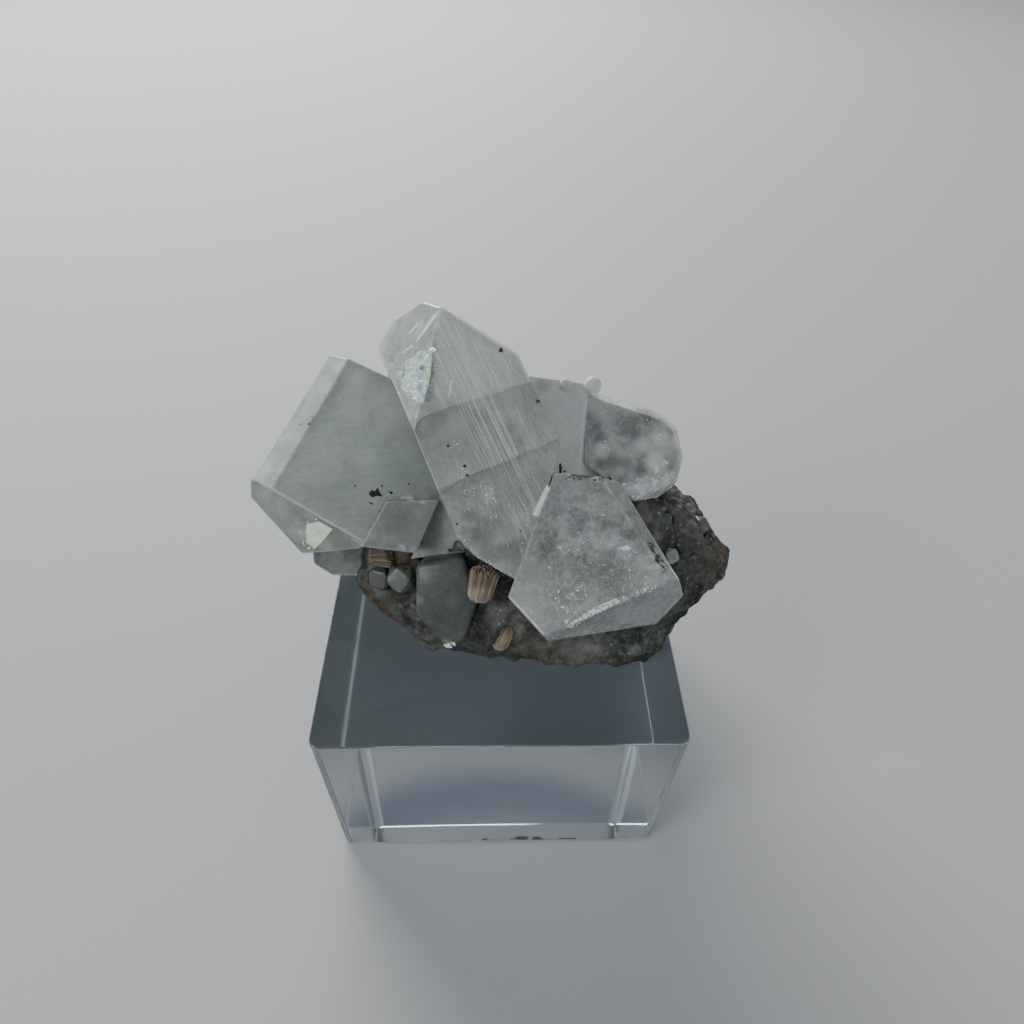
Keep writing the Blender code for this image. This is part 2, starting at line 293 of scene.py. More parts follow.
deselect()
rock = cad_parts["basalt_matrix"].copy()
rock.data = rock.data.copy()
rock.parent = None
rock.name = "broken_basalt"
bpy.context.scene.collection.objects.link(rock)
for key in [k for k in rock.keys() if k.startswith("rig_")]:
    del rock[key]
rock.data.materials.clear()
edit(rock)
bpy.ops.mesh.select_all(action="SELECT")
bpy.ops.mesh.remove_doubles(threshold=0.00001)
bpy.ops.transform.shrink_fatten(value=ROCK_GROWTH * MM)
done()
remesh = rock.modifiers.new("remesh", "REMESH")
remesh.mode = "VOXEL"
remesh.voxel_size = ROCK_VOXEL * MM
for name, kind, size, depth in [
        ("lumps", "CLOUDS", 2.6, 0.8), ("breaks", "VORONOI", 1.6, 0.75), ("grit", "CLOUDS", 0.6, 0.30)]:
    texture = bpy.data.textures.new("rock_" + name, kind)
    texture.noise_scale = size * MM
    push = rock.modifiers.new(name, "DISPLACE")
    push.texture = texture
    push.texture_coords = "LOCAL"
    push.strength = depth * MM
apply_modifiers(rock)

basalt, basalt_shader = new_material("stained_basalt")
basalt_shader.inputs["Roughness"].default_value = 0.82
here = add_node(basalt, "ShaderNodeTexCoord")


def noise(mat, place, scale, detail=4.0, roughness=0.5, distortion=0.0):
    """A cloud of noise over a place, read as a value."""
    node = add_node(mat, "ShaderNodeTexNoise", Scale=scale, Detail=detail, Roughness=roughness,
                    Distortion=distortion)
    join(mat, place, node.inputs["Vector"])
    return node.outputs["Fac"]


stone = ramp(basalt, noise(basalt, here.outputs["Object"], 300.0, 9.0, 0.72), [
    (0.34, (0.018, 0.023, 0.019)), (0.46, (0.055, 0.064, 0.053)),
    (0.56, (0.115, 0.125, 0.104)), (0.72, (0.220, 0.225, 0.190))])
stain = ramp(basalt, noise(basalt, here.outputs["Object"], 120.0, 5.0, 0.6, 0.4), [(0.56, 0.0), (0.66, 0.75)])
stone = mix(basalt, "MIX", stain, stone, (0.095, 0.052, 0.022))
pale = ramp(basalt, noise(basalt, here.outputs["Object"], 640.0, 5.0, 0.7), [(0.60, 0.0), (0.70, 0.55)])
stone = mix(basalt, "MIX", pale, stone, (0.30, 0.31, 0.28))
grains = add_node(basalt, "ShaderNodeTexVoronoi", Scale=2600.0)
join(basalt, here.outputs["Object"], grains.inputs["Vector"])
grain_tone = ramp(basalt, grains.outputs["Color"], [(0.30, 0.70), (0.62, 1.0), (0.80, 1.0), (0.92, 1.5)])
stone = mix(basalt, "MULTIPLY", 1.0, stone, grain_tone)
join(basalt, stone, basalt_shader.inputs["Base Color"])
rock_bump = add_node(basalt, "ShaderNodeBump", Strength=0.8, Distance=0.00040)
join(basalt, noise(basalt, here.outputs["Object"], 900.0, 8.0, 0.75), rock_bump.inputs["Height"])
join(basalt, ramp(basalt, grains.outputs["Color"], [(0.30, 0.9), (0.80, 0.55), (0.92, 0.25)]),
     basalt_shader.inputs["Roughness"])
join(basalt, rock_bump.outputs["Normal"], basalt_shader.inputs["Normal"])
rock.data.materials.append(basalt)
rock_stone, rock_place = stone, here.outputs["Object"]
for face in rock.data.polygons:
    face.use_smooth = True
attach(rock, "root")
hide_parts("basalt_matrix")

# Central crystal.
# The tallest apophyllite, clear to cloudy. It grew in three steps up its front, each with fine upright
# striations, and its top left is a slanting end face with an old rainbow-coloured break.
# A face is (turn, lean, distance): turn is its direction round the facing, counted from level right as
# seen from the front, lean is how far it looks to the front, and distance is from the middle.

ROUGH_BLOCK = 120
EDGE_EASE = 0.18
EDGE_SPREAD = (4, 18)
APOPHYLLITE_IOR = 1.535
BODY_TINT = (0.72, 0.84, 0.80)
CENTRAL_MIDDLE = (-1.9, -0.2, 48.6)
CENTRAL_FACING = (0.08, -0.70, 0.71)
CENTRAL_FRONT = 5.5
STRIA_TURN = 21
STEP_DEPTH = 0.14


def facing_axes(facing):
    """Level right, up the face, and out of it."""
    out = Vector(facing).normalized()
    right = Vector((0, 0, 1)).cross(out).normalized()
    return right, out.cross(right), out


def face_normal(facing, turn, lean):
    """Outward direction of a crystal's side face."""
    right, up, out = facing_axes(facing)
    around = right * cos(radians(turn)) + up * sin(radians(turn))
    return around * cos(radians(lean)) + out * sin(radians(lean))


def ease_edges(crystal, width):
    """Round a crystal's edges a little."""
    soften = crystal.modifiers.new("eased edges", "BEVEL")
    soften.width = width * MM
    soften.segments = 3
    soften.limit_method = "ANGLE"
    soften.angle_limit = radians(8)
    apply_modifiers(crystal)


def cut_crystal(name, middle, facing, front, back, faces, ease=EDGE_EASE):
    """Cut a crystal from a rough block, one flat cut for each face."""
    deselect()
    bpy.ops.mesh.primitive_cube_add(size=ROUGH_BLOCK * MM)
    crystal = bpy.context.object
    crystal.name = name
    centre = Vector(middle) * MM
    out = Vector(facing).normalized()
    cuts = [(out, front), (-out, back)] + [(face_normal(facing, t, l), d) for t, l, d in faces]
    bpy.ops.object.mode_set(mode="EDIT")
    bpy.ops.mesh.select_all(action="SELECT")
    bpy.ops.transform.translate(value=centre)
    for normal, distance in cuts:
        bpy.ops.mesh.select_all(action="SELECT")
        bpy.ops.mesh.bisect(plane_co=centre + normal * distance * MM, plane_no=normal,
                            use_fill=True, clear_outer=True, threshold=1e-7)
    done()
    crystal["cuts"] = [tuple(normal) for normal, _ in cuts]
    if ease:
        ease_edges(crystal, ease)
    return crystal


def combine(crystal, other, operation):
    """Take another shape out of a crystal, or grow the two into one."""
    cut = crystal.modifiers.new("growth", "BOOLEAN")
    cut.operation = operation
    cut.object = other
    cut.solver = "EXACT"
    apply_modifiers(crystal)
    bpy.data.objects.remove(other)


def score(crystal, out, across, level, lines):
    """Raise or sink fine straight lines on the faces that look out and lie near a level.
    A line is (offset across the face, height)."""
    bpy.context.tool_settings.mesh_select_mode = (True, False, False)
    centre = Vector(crystal["middle"]) * MM
    for offset, height in lines:
        for vertex in crystal.data.vertices:
            vertex.select = False
        for part in list(crystal.data.edges) + list(crystal.data.polygons):
            part.select = False
        for face in crystal.data.polygons:
            near = abs((face.center - centre).dot(out) / MM - level) < STEP_DEPTH * 0.7
            if near and face.normal.dot(out) > 0.95:
                for index in face.vertices:
                    crystal.data.vertices[index].select = True
        deselect()
        crystal.select_set(True)
        bpy.context.view_layer.objects.active = crystal
        bpy.ops.object.mode_set(mode="EDIT")
        bpy.ops.mesh.bisect(plane_co=centre + across * offset * MM, plane_no=across, threshold=1e-7)
        bpy.ops.transform.translate(value=out * height * MM)
        done()


def mark_edge_highlight(crystal):
    """Say how far each small face turns away from the crystal's own flat faces: these rounded edges get a painted
    highlight, full where they turn furthest.
    """
    cuts = [Vector(normal) for normal in crystal["cuts"]]
    start, full = EDGE_SPREAD
    edge_highlight = crystal.data.attributes.new("edge_highlight", "FLOAT", "FACE")
    for face in crystal.data.polygons:
        away = min(face.normal.angle(normal) for normal in cuts) * 180 / pi
        edge_highlight.data[face.index].value = min(1.0, max(0.0, (away - start) / (full - start)))


def run_along(mat, place, middle, direction, start, end):
    """How far a point lies from one distance to another along a direction, from 0 to 1."""
    dot = add_node(mat, "ShaderNodeVectorMath", operation="DOT_PRODUCT")
    join(mat, place, dot.inputs[0])
    dot.inputs[1].default_value = direction
    origin = (Vector(middle) * MM).dot(direction)
    span = add_node(mat, "ShaderNodeMapRange")
    span.inputs["From Min"].default_value = origin + start * MM
    span.inputs["From Max"].default_value = origin + end * MM
    join(mat, dot.outputs["Value"], span.inputs["Value"])
    return span.outputs["Result"]


def striae_place(mat, place, facing, turn, stretch):
    """The place turned to a crystal's own directions and stretched along them."""
    right, up, out = facing_axes(facing)
    across = face_normal(facing, turn, 0)
    along = out.cross(across)
    merged = mat.node_tree.nodes.new("ShaderNodeCombineXYZ")
    for slot_index, (direction, amount) in enumerate(zip((across, along, out), stretch)):
        dot = add_node(mat, "ShaderNodeVectorMath", operation="DOT_PRODUCT")
        join(mat, place, dot.inputs[0])
        dot.inputs[1].default_value = direction * amount / MM
        join(mat, dot.outputs["Value"], merged.inputs[slot_index])
    return merged.outputs["Vector"]


def crystal_skin(name, pale, deep, milk, roughness, density=12.0, edge=0.8, veil=0.35, scale=110.0):
    """Clear to milky apophyllite: see-through by its transmission, with the share `milk` scattered back.
    Gives the material, its place socket and its colour socket, which more can be laid over."""
    mat, shader = new_material(name)
    shader.inputs["Transmission Weight"].default_value = 1 - milk
    shader.inputs["IOR"].default_value = APOPHYLLITE_IOR
    place = add_node(mat, "ShaderNodeTexCoord").outputs["Object"]
    clouds = noise(mat, place, scale, 5.0, 0.55)
    colour = ramp(mat, clouds, [(0.36, deep), (0.64, pale)])
    wisps = ramp(mat, noise(mat, place, scale * 2.4, 4.0, 0.55, 0.9),
                 [(0.45, 0.0), (0.50, veil), (0.55, 0.0)])
    colour = mix(mat, "MIX", wisps, colour, (0.93, 0.96, 0.95))
    frost = ramp(mat, noise(mat, place, 3000.0, 3.0, 0.6), [(0.35, 0.90), (0.62, 1.0)])
    colour = mix(mat, "MULTIPLY", 1.0, colour, frost)
    # Painted highlight: the rounded edges are whitened, as far as `edge` says.
    edge_highlight = add_node(mat, "ShaderNodeAttribute", attribute_name="edge_highlight")
    colour = mix(mat, "MIX", ramp(mat, edge_highlight.outputs["Fac"], [(0.0, 0.0), (1.0, edge)]), colour, (1.0, 1.0, 1.0))
    join(mat, colour, shader.inputs["Base Color"])
    join(mat, ramp(mat, clouds, [(0.30, roughness), (0.75, roughness * 1.8)]), shader.inputs["Roughness"])
    bump = add_node(mat, "ShaderNodeBump", Strength=0.22, Distance=0.0001)
    join(mat, noise(mat, place, 420.0, 3.0), bump.inputs["Height"])
    join(mat, bump.outputs["Normal"], shader.inputs["Normal"])
    absorb = add_node(mat, "ShaderNodeVolumeAbsorption", Density=density)
    absorb.inputs["Color"].default_value = (*BODY_TINT, 1)
    join(mat, absorb.outputs["Volume"], mat.node_tree.nodes["Material Output"].inputs["Volume"])
    return mat, place, colour


def grain(mat, place, colour, scale, least, most, facing=(0, 0, 1), turn=0, stretch=(1.0, 1.0, 1.0)):
    """Fine grain laid over a colour: it is darkened to `least` and lightened to `most`, drawn out along
    a crystal's own directions."""
    fine = noise(mat, striae_place(mat, place, facing, turn, stretch), scale, 6.0, 0.7)
    return mix(mat, "MULTIPLY", 1.0, colour, ramp(mat, fine, [(0.34, least), (0.50, 1.0), (0.66, most)]))


def recolour(mat, colour):
    """Put a new colour on a material's shader."""
    join(mat, colour, mat.node_tree.nodes["Principled BSDF"].inputs["Base Color"])


def set_crystal(crystal, skin, node):
    """Give a crystal its skin and hide the CAD node it stands for."""
    mark_edge_highlight(crystal)
    crystal.data.materials.append(skin)
    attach(crystal, "root")
    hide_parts(node)


central = cut_crystal("crystal_central", CENTRAL_MIDDLE, CENTRAL_FACING, CENTRAL_FRONT, 5.0, [
    (21, 0, 5.6), (198, 0, 5.6), (55, 5, 8.0), (163, 38, 8.3),
    (109, 5, 13.5), (141, 5, 13.0), (339, 5, 6.9), (219, -2, 7.7), (235, -3, 9.2)], 0.30)
central["middle"] = CENTRAL_MIDDLE
GROWTH_STEPS = [
    ("upper", STEP_DEPTH, [(104, 0, 3.29), (121, 0, 4.30), (143.5, 0, 5.47)]),
    ("lower", 2 * STEP_DEPTH, [(108.6, 0, -2.59), (123.4, 0, -1.59)]),
]
for name, depth, faces in GROWTH_STEPS:
    combine(central, cut_crystal("step_cutter", CENTRAL_MIDDLE, CENTRAL_FACING, 9.0, depth - CENTRAL_FRONT,
                                 faces, 0), "DIFFERENCE")
central_out = Vector(CENTRAL_FACING).normalized()
stria_across = face_normal(CENTRAL_FACING, STRIA_TURN, 0)
chance = random.Random(11)
for level, count, middle, spread in [(0, 30, 0.6, 2.3), (1, 34, 0.3, 2.1), (2, 20, 1.0, 1.9)]:
    offsets = sorted(chance.gauss(middle, spread) for _ in range(count))
    lines = [(u, chance.choice((-1, 1)) * chance.uniform(0.012, 0.030)) for u in offsets if abs(u) < 5.2]
    score(central, central_out, stria_across, CENTRAL_FRONT - level * STEP_DEPTH, lines)

striated, here, colour = crystal_skin("apophyllite_striated", (0.70, 0.74, 0.725), (0.52, 0.555, 0.54),
                                      0.46, 0.13, edge=1.0, veil=0.20)
streaks = noise(striated, striae_place(striated, here, CENTRAL_FACING, STRIA_TURN, (13.0, 0.14, 0.7)), 1.0, 3.0, 0.6)
window = run_along(striated, here, CENTRAL_MIDDLE, stria_across, -4.5, 5.0)
window = ramp(striated, window, [(0.10, 0.0), (0.35, 1.0), (0.75, 1.0), (0.98, 0.25)])
end_face = run_along(striated, here, CENTRAL_MIDDLE, face_normal(CENTRAL_FACING, 163, 38), 7.9, 8.25)
window = mix(striated, "MULTIPLY", 1.0, window, ramp(striated, end_face, [(0.0, 1.0), (1.0, 0.0)]))
bright = ramp(striated, streaks, [(0.555, 0.0), (0.60, 1.0)])
colour = mix(striated, "MIX", mix(striated, "MULTIPLY", 1.0, bright, window), colour, (1.0, 1.0, 1.0))
dull = ramp(striated, streaks, [(0.36, 0.80), (0.44, 1.0)])
colour = mix(striated, "MULTIPLY", window, colour, dull)
# Painted shade under each growth step: the face is darkest just below the step and lightens further down.
for turn, distance, shade in ((104, 3.29, 0.60), (108.6, -2.59, 0.66)):
    below = run_along(striated, here, CENTRAL_MIDDLE, face_normal(CENTRAL_FACING, turn, 0), distance - 5.5, distance)
    tone = ramp(striated, below, [(0.0, 1.0), (0.60, 0.84), (0.97, shade), (1.0, 1.0)])
    colour = mix(striated, "MULTIPLY", 1.0, colour, tone)
foot = run_along(striated, here, CENTRAL_MIDDLE, face_normal(CENTRAL_FACING, 108.6, 0), -8.1, -2.59)
hairs = noise(striated, striae_place(striated, here, CENTRAL_FACING, STRIA_TURN + 12, (7.0, 1.3, 2.0)), 1.0, 6.0, 0.75, 0.8)
hairs = ramp(striated, hairs, [(0.45, 0.0), (0.50, 0.60), (0.55, 0.0)])
hairs = mix(striated, "MULTIPLY", 1.0, hairs, ramp(striated, foot, [(0.0, 0.6), (0.85, 1.0), (0.998, 0.0)]))
colour = mix(striated, "MIX", hairs, colour, (0.96, 0.98, 0.98))
colour = grain(striated, here, colour, 1.0, 0.86, 1.12, CENTRAL_FACING, STRIA_TURN, (5.0, 1.6, 2.0))
set_crystal(central, striated, "apophyllite_cluster")


outsides = {}


def touch(pixel, carriers):
    """Where the sight line of a pixel first meets one of the carriers, and the face's direction there."""
    nearest = None
    for carrier in carriers:
        if carrier.name not in outsides:
            outsides[carrier.name] = BVHTree.FromPolygons([corner.co for corner in carrier.data.vertices],
                                                          [face.vertices[:] for face in carrier.data.polygons])
        spot, normal, _, distance = outsides[carrier.name].ray_cast(CAMERA_PLACE, sight(pixel))
        if spot is not None and (nearest is None or distance < nearest[2]):
            nearest = spot, normal, distance
    return nearest and nearest[:2]


def beside(pixel, carriers):
    """Where the sight line of a pixel meets the carriers, or the spot on the first one that it passes."""
    met = touch(pixel, carriers)
    if met is not None:
        return met[0]
    corners = [corner.co for corner in carriers[0].data.vertices]
    depth = (sum(corners, Vector()) / len(corners) - CAMERA_PLACE).dot(sight(pixel))
    return carriers[0].closest_point_on_mesh(CAMERA_PLACE + sight(pixel) * depth)[1]


def blotch(mat, place, colour, tint, spots, carriers):
    """Soft spots of a tint laid over a colour where the photograph shows them.
    A spot is (pixel, radius in mm, strength)."""
    wander = noise(mat, place, 650.0, 5.0, 0.62)
    for pixel, radius, strength in spots:
        away = add_node(mat, "ShaderNodeVectorMath", operation="DISTANCE")
        join(mat, place, away.inputs[0])
        away.inputs[1].default_value = beside(pixel, carriers)
        frayed = add_node(mat, "ShaderNodeMath", operation="MULTIPLY_ADD")
        join(mat, wander, frayed.inputs[0])
        frayed.inputs[1].default_value = radius * MM
        join(mat, away.outputs["Value"], frayed.inputs[2])
        fall = add_node(mat, "ShaderNodeMapRange")
        fall.inputs["From Min"].default_value = 0.75 * radius * MM
        fall.inputs["From Max"].default_value = 1.55 * radius * MM
        fall.inputs["To Min"].default_value = strength
        fall.inputs["To Max"].default_value = 0.0
        join(mat, frayed.outputs["Value"], fall.inputs["Value"])
        colour = mix(mat, "MIX", fall.outputs["Result"], colour, tint)
    return colour


# Pale spots: those along the lower left edge and the top left edge are painted highlight, the rest pale cloudiness.
colour = blotch(striated, here, colour, (0.97, 0.98, 0.98), [
    ((383, 345), 1.1, 0.75), ((392, 326), 1.1, 0.6), ((408, 311), 1.1, 0.5), ((396, 392), 1.0, 0.5),
    ((457, 537), 0.8, 0.6), ((474, 554), 0.8, 0.5), ((420, 418), 1.0, 0.35), ((487, 494), 0.8, 0.45),
    ((464, 470), 0.9, 0.35), ((533, 535), 1.0, 0.35), ((441, 508), 0.5, 0.5), ((497, 568), 0.6, 0.5),
    ((390, 366), 0.6, 0.5), ((420, 326), 0.7, 0.4), ((404, 334), 0.6, 0.4), ((494, 540), 0.6, 0.35),
    ((524, 515), 0.8, 0.30), ((447, 432), 1.0, 0.22), ((476, 402), 1.1, 0.18), ((445, 403), 1.2, 0.30),
    ((458, 421), 1.3, 0.42), ((452, 478), 1.0, 0.40)], [central])
colour = blotch(striated, here, colour, (0.50, 0.47, 0.46), [
    ((427, 333), 1.2, 0.75), ((420, 343), 0.9, 0.6), ((404, 345), 1.6, 0.22), ((396, 334), 1.2, 0.18),
    ((412, 320), 1.2, 0.18)], [central])
colour = blotch(striated, here, colour, (0.22, 0.25, 0.24), [
    ((484, 533), 1.4, 0.55), ((512, 550), 1.5, 0.60), ((500, 515), 1.2, 0.35), ((392, 358), 0.6, 0.5),
    ((490, 552), 1.2, 0.40), ((524, 540), 1.1, 0.45), ((450, 350), 1.0, 0.18),
    ((470, 515), 1.0, 0.35), ((540, 470), 1.2, 0.25), ((398, 348), 0.6, 0.35), ((412, 362), 0.7, 0.25),
    ((528, 560), 1.0, 0.40), ((508, 528), 0.8, 0.35), ((452, 400), 1.4, 0.12), ((500, 400), 1.6, 0.12)], [central])
recolour(striated, colour)


def flake(outline, carriers, proud=0.015, sunk=0.06, narrow=0.9):
    """A thin flake let into the face that carries it, its outline given by pixels of the photograph."""
    middle = [sum(corner[axis] for corner in outline) / len(outline) for axis in (0, 1)]
    spot, normal = touch(middle, carriers)
    deselect()
    bpy.ops.mesh.primitive_circle_add(vertices=len(outline), radius=MM, fill_type="NGON")
    piece = bpy.context.object
    for corner, pixel in zip(piece.data.vertices, outline):
        ray = sight(pixel)
        reach = (spot - CAMERA_PLACE).dot(normal) / ray.dot(normal)
        corner.co = CAMERA_PLACE + ray * reach - normal * sunk * MM
    edit(piece)
    bpy.ops.mesh.select_all(action="SELECT")
    bpy.ops.mesh.extrude_region_move(TRANSFORM_OT_translate={"value": normal * (proud + sunk) * MM})
    bpy.ops.transform.resize(value=(narrow, narrow, narrow), center_override=spot + normal * proud * MM)
    bpy.ops.mesh.select_all(action="SELECT")
    bpy.ops.mesh.normals_make_consistent(inside=False)
    done()
    return piece


def gather(name, parts, skin):
    """Join flakes of one kind into one piece."""
    deselect()
    for part in parts:
        part.select_set(True)
    bpy.context.view_layer.objects.active = parts[0]
    if len(parts) > 1:
        bpy.ops.object.join()
    piece = parts[0]
    piece.name = name
    settle(piece)
    piece.data.materials.clear()
    piece.data.materials.append(skin)
    for face in piece.data.polygons:
        face.material_index = 0
    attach(piece, "root")
    return piece


def ragged(pixel, radius, seed, corners=7, stretch=1.0):
    """A small ragged outline round a pixel."""
    edge_chance = random.Random(seed)
    return [(pixel[0] + radius * stretch * edge_chance.uniform(0.6, 1.15) * cos(2 * pi * k / corners),
             pixel[1] + radius * edge_chance.uniform(0.6, 1.15) * sin(2 * pi * k / corners))
            for k in range(corners)]


deselect()
bpy.ops.mesh.primitive_cube_add(size=2 * MM)
splinter = bpy.context.object
splinter.name = "splinter"
edit(splinter)
for normal, distance in [((0.8, 0.5, 0.3), 0.75), ((-0.7, 0.6, -0.2), 0.80), ((0.2, -0.9, 0.5), 0.78),
                         ((-0.5, -0.6, -0.5), 0.85), ((0.5, -0.3, -0.8), 0.8)]:
    bpy.ops.mesh.select_all(action="SELECT")
    bpy.ops.mesh.bisect(plane_co=Vector(normal).normalized() * distance * MM, plane_no=normal,
                        use_fill=True, clear_outer=True, threshold=1e-7)
done()


def inside(pixel, outline):
    """Whether a pixel lies inside an outline of pixels."""
    within = False
    for (x0, y0), (x1, y1) in zip(outline, outline[1:] + outline[:1]):
        if (y0 > pixel[1]) != (y1 > pixel[1]) and pixel[0] < x0 + (pixel[1] - y0) * (x1 - x0) / (y1 - y0):
            within = not within
    return within


def strew(outline, count, carriers, size, depth, tilt, seed, thin=0.12, narrow=(0.3, 1.0), way=None, sway=180):
    """Copies of the splinter, strewn at and under the faces seen inside an outline of pixels.
    Size and depth are (least, most) in mm, tilt is the most that a splinter leans, in degrees, and
    thin and narrow are shares of its length. Way is the direction of its length in the photograph, which
    it keeps to within sway degrees."""
    place_chance = random.Random(seed)
    lows = [min(corner[axis] for corner in outline) for axis in (0, 1)]
    highs = [max(corner[axis] for corner in outline) for axis in (0, 1)]
    copies = []
    while len(copies) < count:
        pixel = [place_chance.uniform(low, high) for low, high in zip(lows, highs)]
        if not inside(pixel, outline):
            continue
        met = touch(pixel, carriers)
        if met is None:
            continue
        spot, normal = met
        half = place_chance.uniform(*size) / 2
        shape = Matrix.Diagonal((half, half * place_chance.uniform(*narrow), half * thin, 1))
        lean_angle = radians(place_chance.uniform(-tilt, tilt))
        lean = Matrix.Rotation(lean_angle, 4, "X")
        spin = Matrix.Rotation(radians(place_chance.uniform(-sway, sway)), 4, "Z")
        face_up = normal.to_track_quat("Z", "Y").to_matrix().to_4x4()
        if way:
            ray = sight((pixel[0] + way[0], pixel[1] + way[1]))
            ahead = CAMERA_PLACE + ray * (spot - CAMERA_PLACE).dot(normal) / ray.dot(normal) - spot
            ahead.normalize()
            face_up = Matrix((ahead, normal.cross(ahead), normal)).transposed().to_4x4()
        copy = splinter.copy()
        copy.data = splinter.data.copy()
        bpy.context.scene.collection.objects.link(copy)
        under = place_chance.uniform(*depth) + half * abs(sin(lean_angle))
        at = Matrix.Translation(spot - normal * under * MM)
        copy.data.transform(at @ face_up @ spin @ lean @ shape)
        copies.append(copy)
    return copies


def plain_skin(name, pale, deep, roughness, scale=900.0, milk=1.0, metal=0.0):
    """The skin of a small flake or crack: a mottled colour with its gloss."""
    mat, shader = new_material(name)
    shader.inputs["Transmission Weight"].default_value = 1 - milk
    shader.inputs["Metallic"].default_value = metal
    place = add_node(mat, "ShaderNodeTexCoord").outputs["Object"]
    mottle = noise(mat, place, scale, 4.0, 0.6)
    join(mat, ramp(mat, mottle, [(0.35, deep), (0.65, pale)]), shader.inputs["Base Color"])
    join(mat, ramp(mat, mottle, [(0.3, roughness), (0.7, roughness * 1.5)]), shader.inputs["Roughness"])
    return mat


white_break = plain_skin("white_break", (0.97, 0.99, 1.0), (0.78, 0.83, 0.84), 0.22)
dark_fleck = plain_skin("dark_fleck", (0.055, 0.044, 0.031), (0.016, 0.013, 0.010), 0.55)
pale_veil = plain_skin("pale_veil", (0.86, 0.91, 0.90), (0.62, 0.68, 0.67), 0.30, milk=0.75)
green_break = plain_skin("green_break", (0.80, 0.93, 0.88), (0.55, 0.72, 0.66), 0.18)

rainbow, rainbow_shader = new_material("rainbow_break")
rainbow_shader.inputs["Metallic"].default_value = 0.35
rainbow_shader.inputs["Roughness"].default_value = 0.18
rainbow_shader.inputs["Thin Film Thickness"].default_value = 420.0
rainbow_shader.inputs["Thin Film IOR"].default_value = 1.40
here = add_node(rainbow, "ShaderNodeTexCoord").outputs["Object"]
join(rainbow, ramp(rainbow, noise(rainbow, here, 800.0, 4.0, 0.6, 0.8), [
    (0.34, (0.16, 0.42, 0.44)), (0.42, (0.50, 0.72, 0.72)), (0.48, (0.66, 0.74, 0.44)),
    (0.53, (0.86, 0.94, 0.92)), (0.59, (0.26, 0.58, 0.60)), (0.66, (0.72, 0.84, 0.82)),
    (0.76, (0.62, 0.56, 0.66))]),
     rainbow_shader.inputs["Base Color"])
wavy = add_node(rainbow, "ShaderNodeBump", Strength=0.9, Distance=0.00015)
join(rainbow, noise(rainbow, here, 1400.0, 2.0), wavy.inputs["Height"])
join(rainbow, wavy.outputs["Normal"], rainbow_shader.inputs["Normal"])

BREAK_WAY = (0.82, -0.57)
RAINBOW_PATCH = [(398, 374), (406, 362), (413, 353), (424, 351), (432, 349), (430, 375), (427, 388),
                 (422, 403), (410, 396), (400, 385)]
gather("rainbow_break", [flake(RAINBOW_PATCH, [central], proud=0.008, narrow=0.86)]
       + strew(RAINBOW_PATCH, 170, [central], (0.4, 1.5), (-0.03, 0.01), 10, 20, 0.06, (0.12, 0.5), BREAK_WAY, 30)
       + strew([(388, 372), (404, 350), (424, 338), (412, 356), (400, 378)], 40, [central], (0.3, 1.2),
               (-0.01, 0.02), 10, 25, 0.06, (0.05, 0.16), BREAK_WAY, 22), rainbow)
WHITE_SHARDS = [
    [(399, 386), (409, 390), (418, 390), (424, 386), (414, 393), (404, 391)],
    [(413, 396), (421, 391), (427, 386), (424, 393), (417, 398)],
    [(417, 401), (423, 397), (426, 395), (424, 404)],
    [(425, 366), (430, 354), (432, 352), (431, 366), (427, 374)],
    [(451, 379), (453, 379), (451, 390), (450, 397), (448, 397)],
]
# White breaks; the tiny splinters strewn along the lower left edge are painted highlight.
gather("central_breaks_and_rim_highlight", [flake(outline, [central], proud=0.03) for outline in WHITE_SHARDS]
       + strew([(400, 380), (431, 362), (426, 404), (412, 398)], 90, [central], (0.3, 1.3), (-0.05, -0.01), 20, 21,
               0.10, (0.05, 0.16), BREAK_WAY, 20)
       + strew([(404, 358), (430, 350), (431, 366), (402, 378)], 26, [central], (0.3, 1.0), (-0.05, -0.01), 20, 26,
               0.10, (0.05, 0.12), BREAK_WAY, 25)
       + strew([(437, 495), (452, 527), (477, 553), (513, 574), (513, 580), (475, 560), (448, 533), (434, 500)],
               150, [central], (0.03, 0.13), (-0.01, 0.01), 20, 27)
       + strew([(448, 505), (534, 500), (545, 545), (512, 572), (462, 540)], 330, [central], (0.12, 0.65),
               (-0.01, 0.03), 8, 28, 0.04, (0.03, 0.07), (0.30, 0.95), 35)
       + strew([(455, 470), (480, 462), (500, 500), (470, 505)], 120, [central], (0.10, 0.45),
               (-0.01, 0.03), 8, 29, 0.04, (0.03, 0.07), (0.45, 0.9), 40)
       + strew([(450, 438), (462, 440), (476, 498), (462, 500)], 170, [central], (0.04, 0.13), (-0.01, 0.02), 20, 22)
       + strew([(478, 483), (492, 482), (498, 504), (482, 503)], 70, [central], (0.05, 0.20), (-0.01, 0.02), 20, 23)
       + strew([(520, 505), (530, 503), (528, 545), (514, 545)], 60, [central], (0.04, 0.15), (-0.01, 0.02), 20, 24),
       white_break)
gather("central_bright_slit", [flake([(547, 484), (552, 489), (538, 517), (532, 515)], [central], proud=0.03)],
       white_break)
gather("central_end_streaks", [flake(outline, [central]) for outline in [
    [(440, 309), (438, 314), (429, 327), (419, 340), (414, 344), (421, 333), (433, 315)],
    [(412, 344), (414, 346), (403, 354), (401, 353)], [(418, 322), (419, 325), (409, 335), (408, 333)]]],
       green_break)
gather("central_specks", [flake(ragged(pixel, radius, index + 1), [central])
                          for index, (pixel, radius) in enumerate([
                              ((501, 350), 3.2), ((538, 401), 2.4), ((448, 446), 2.2), ((465, 466), 2.4),
                              ((467, 475), 1.8), ((457, 524), 1.5), ((521, 531), 1.5)])], dark_fleck)
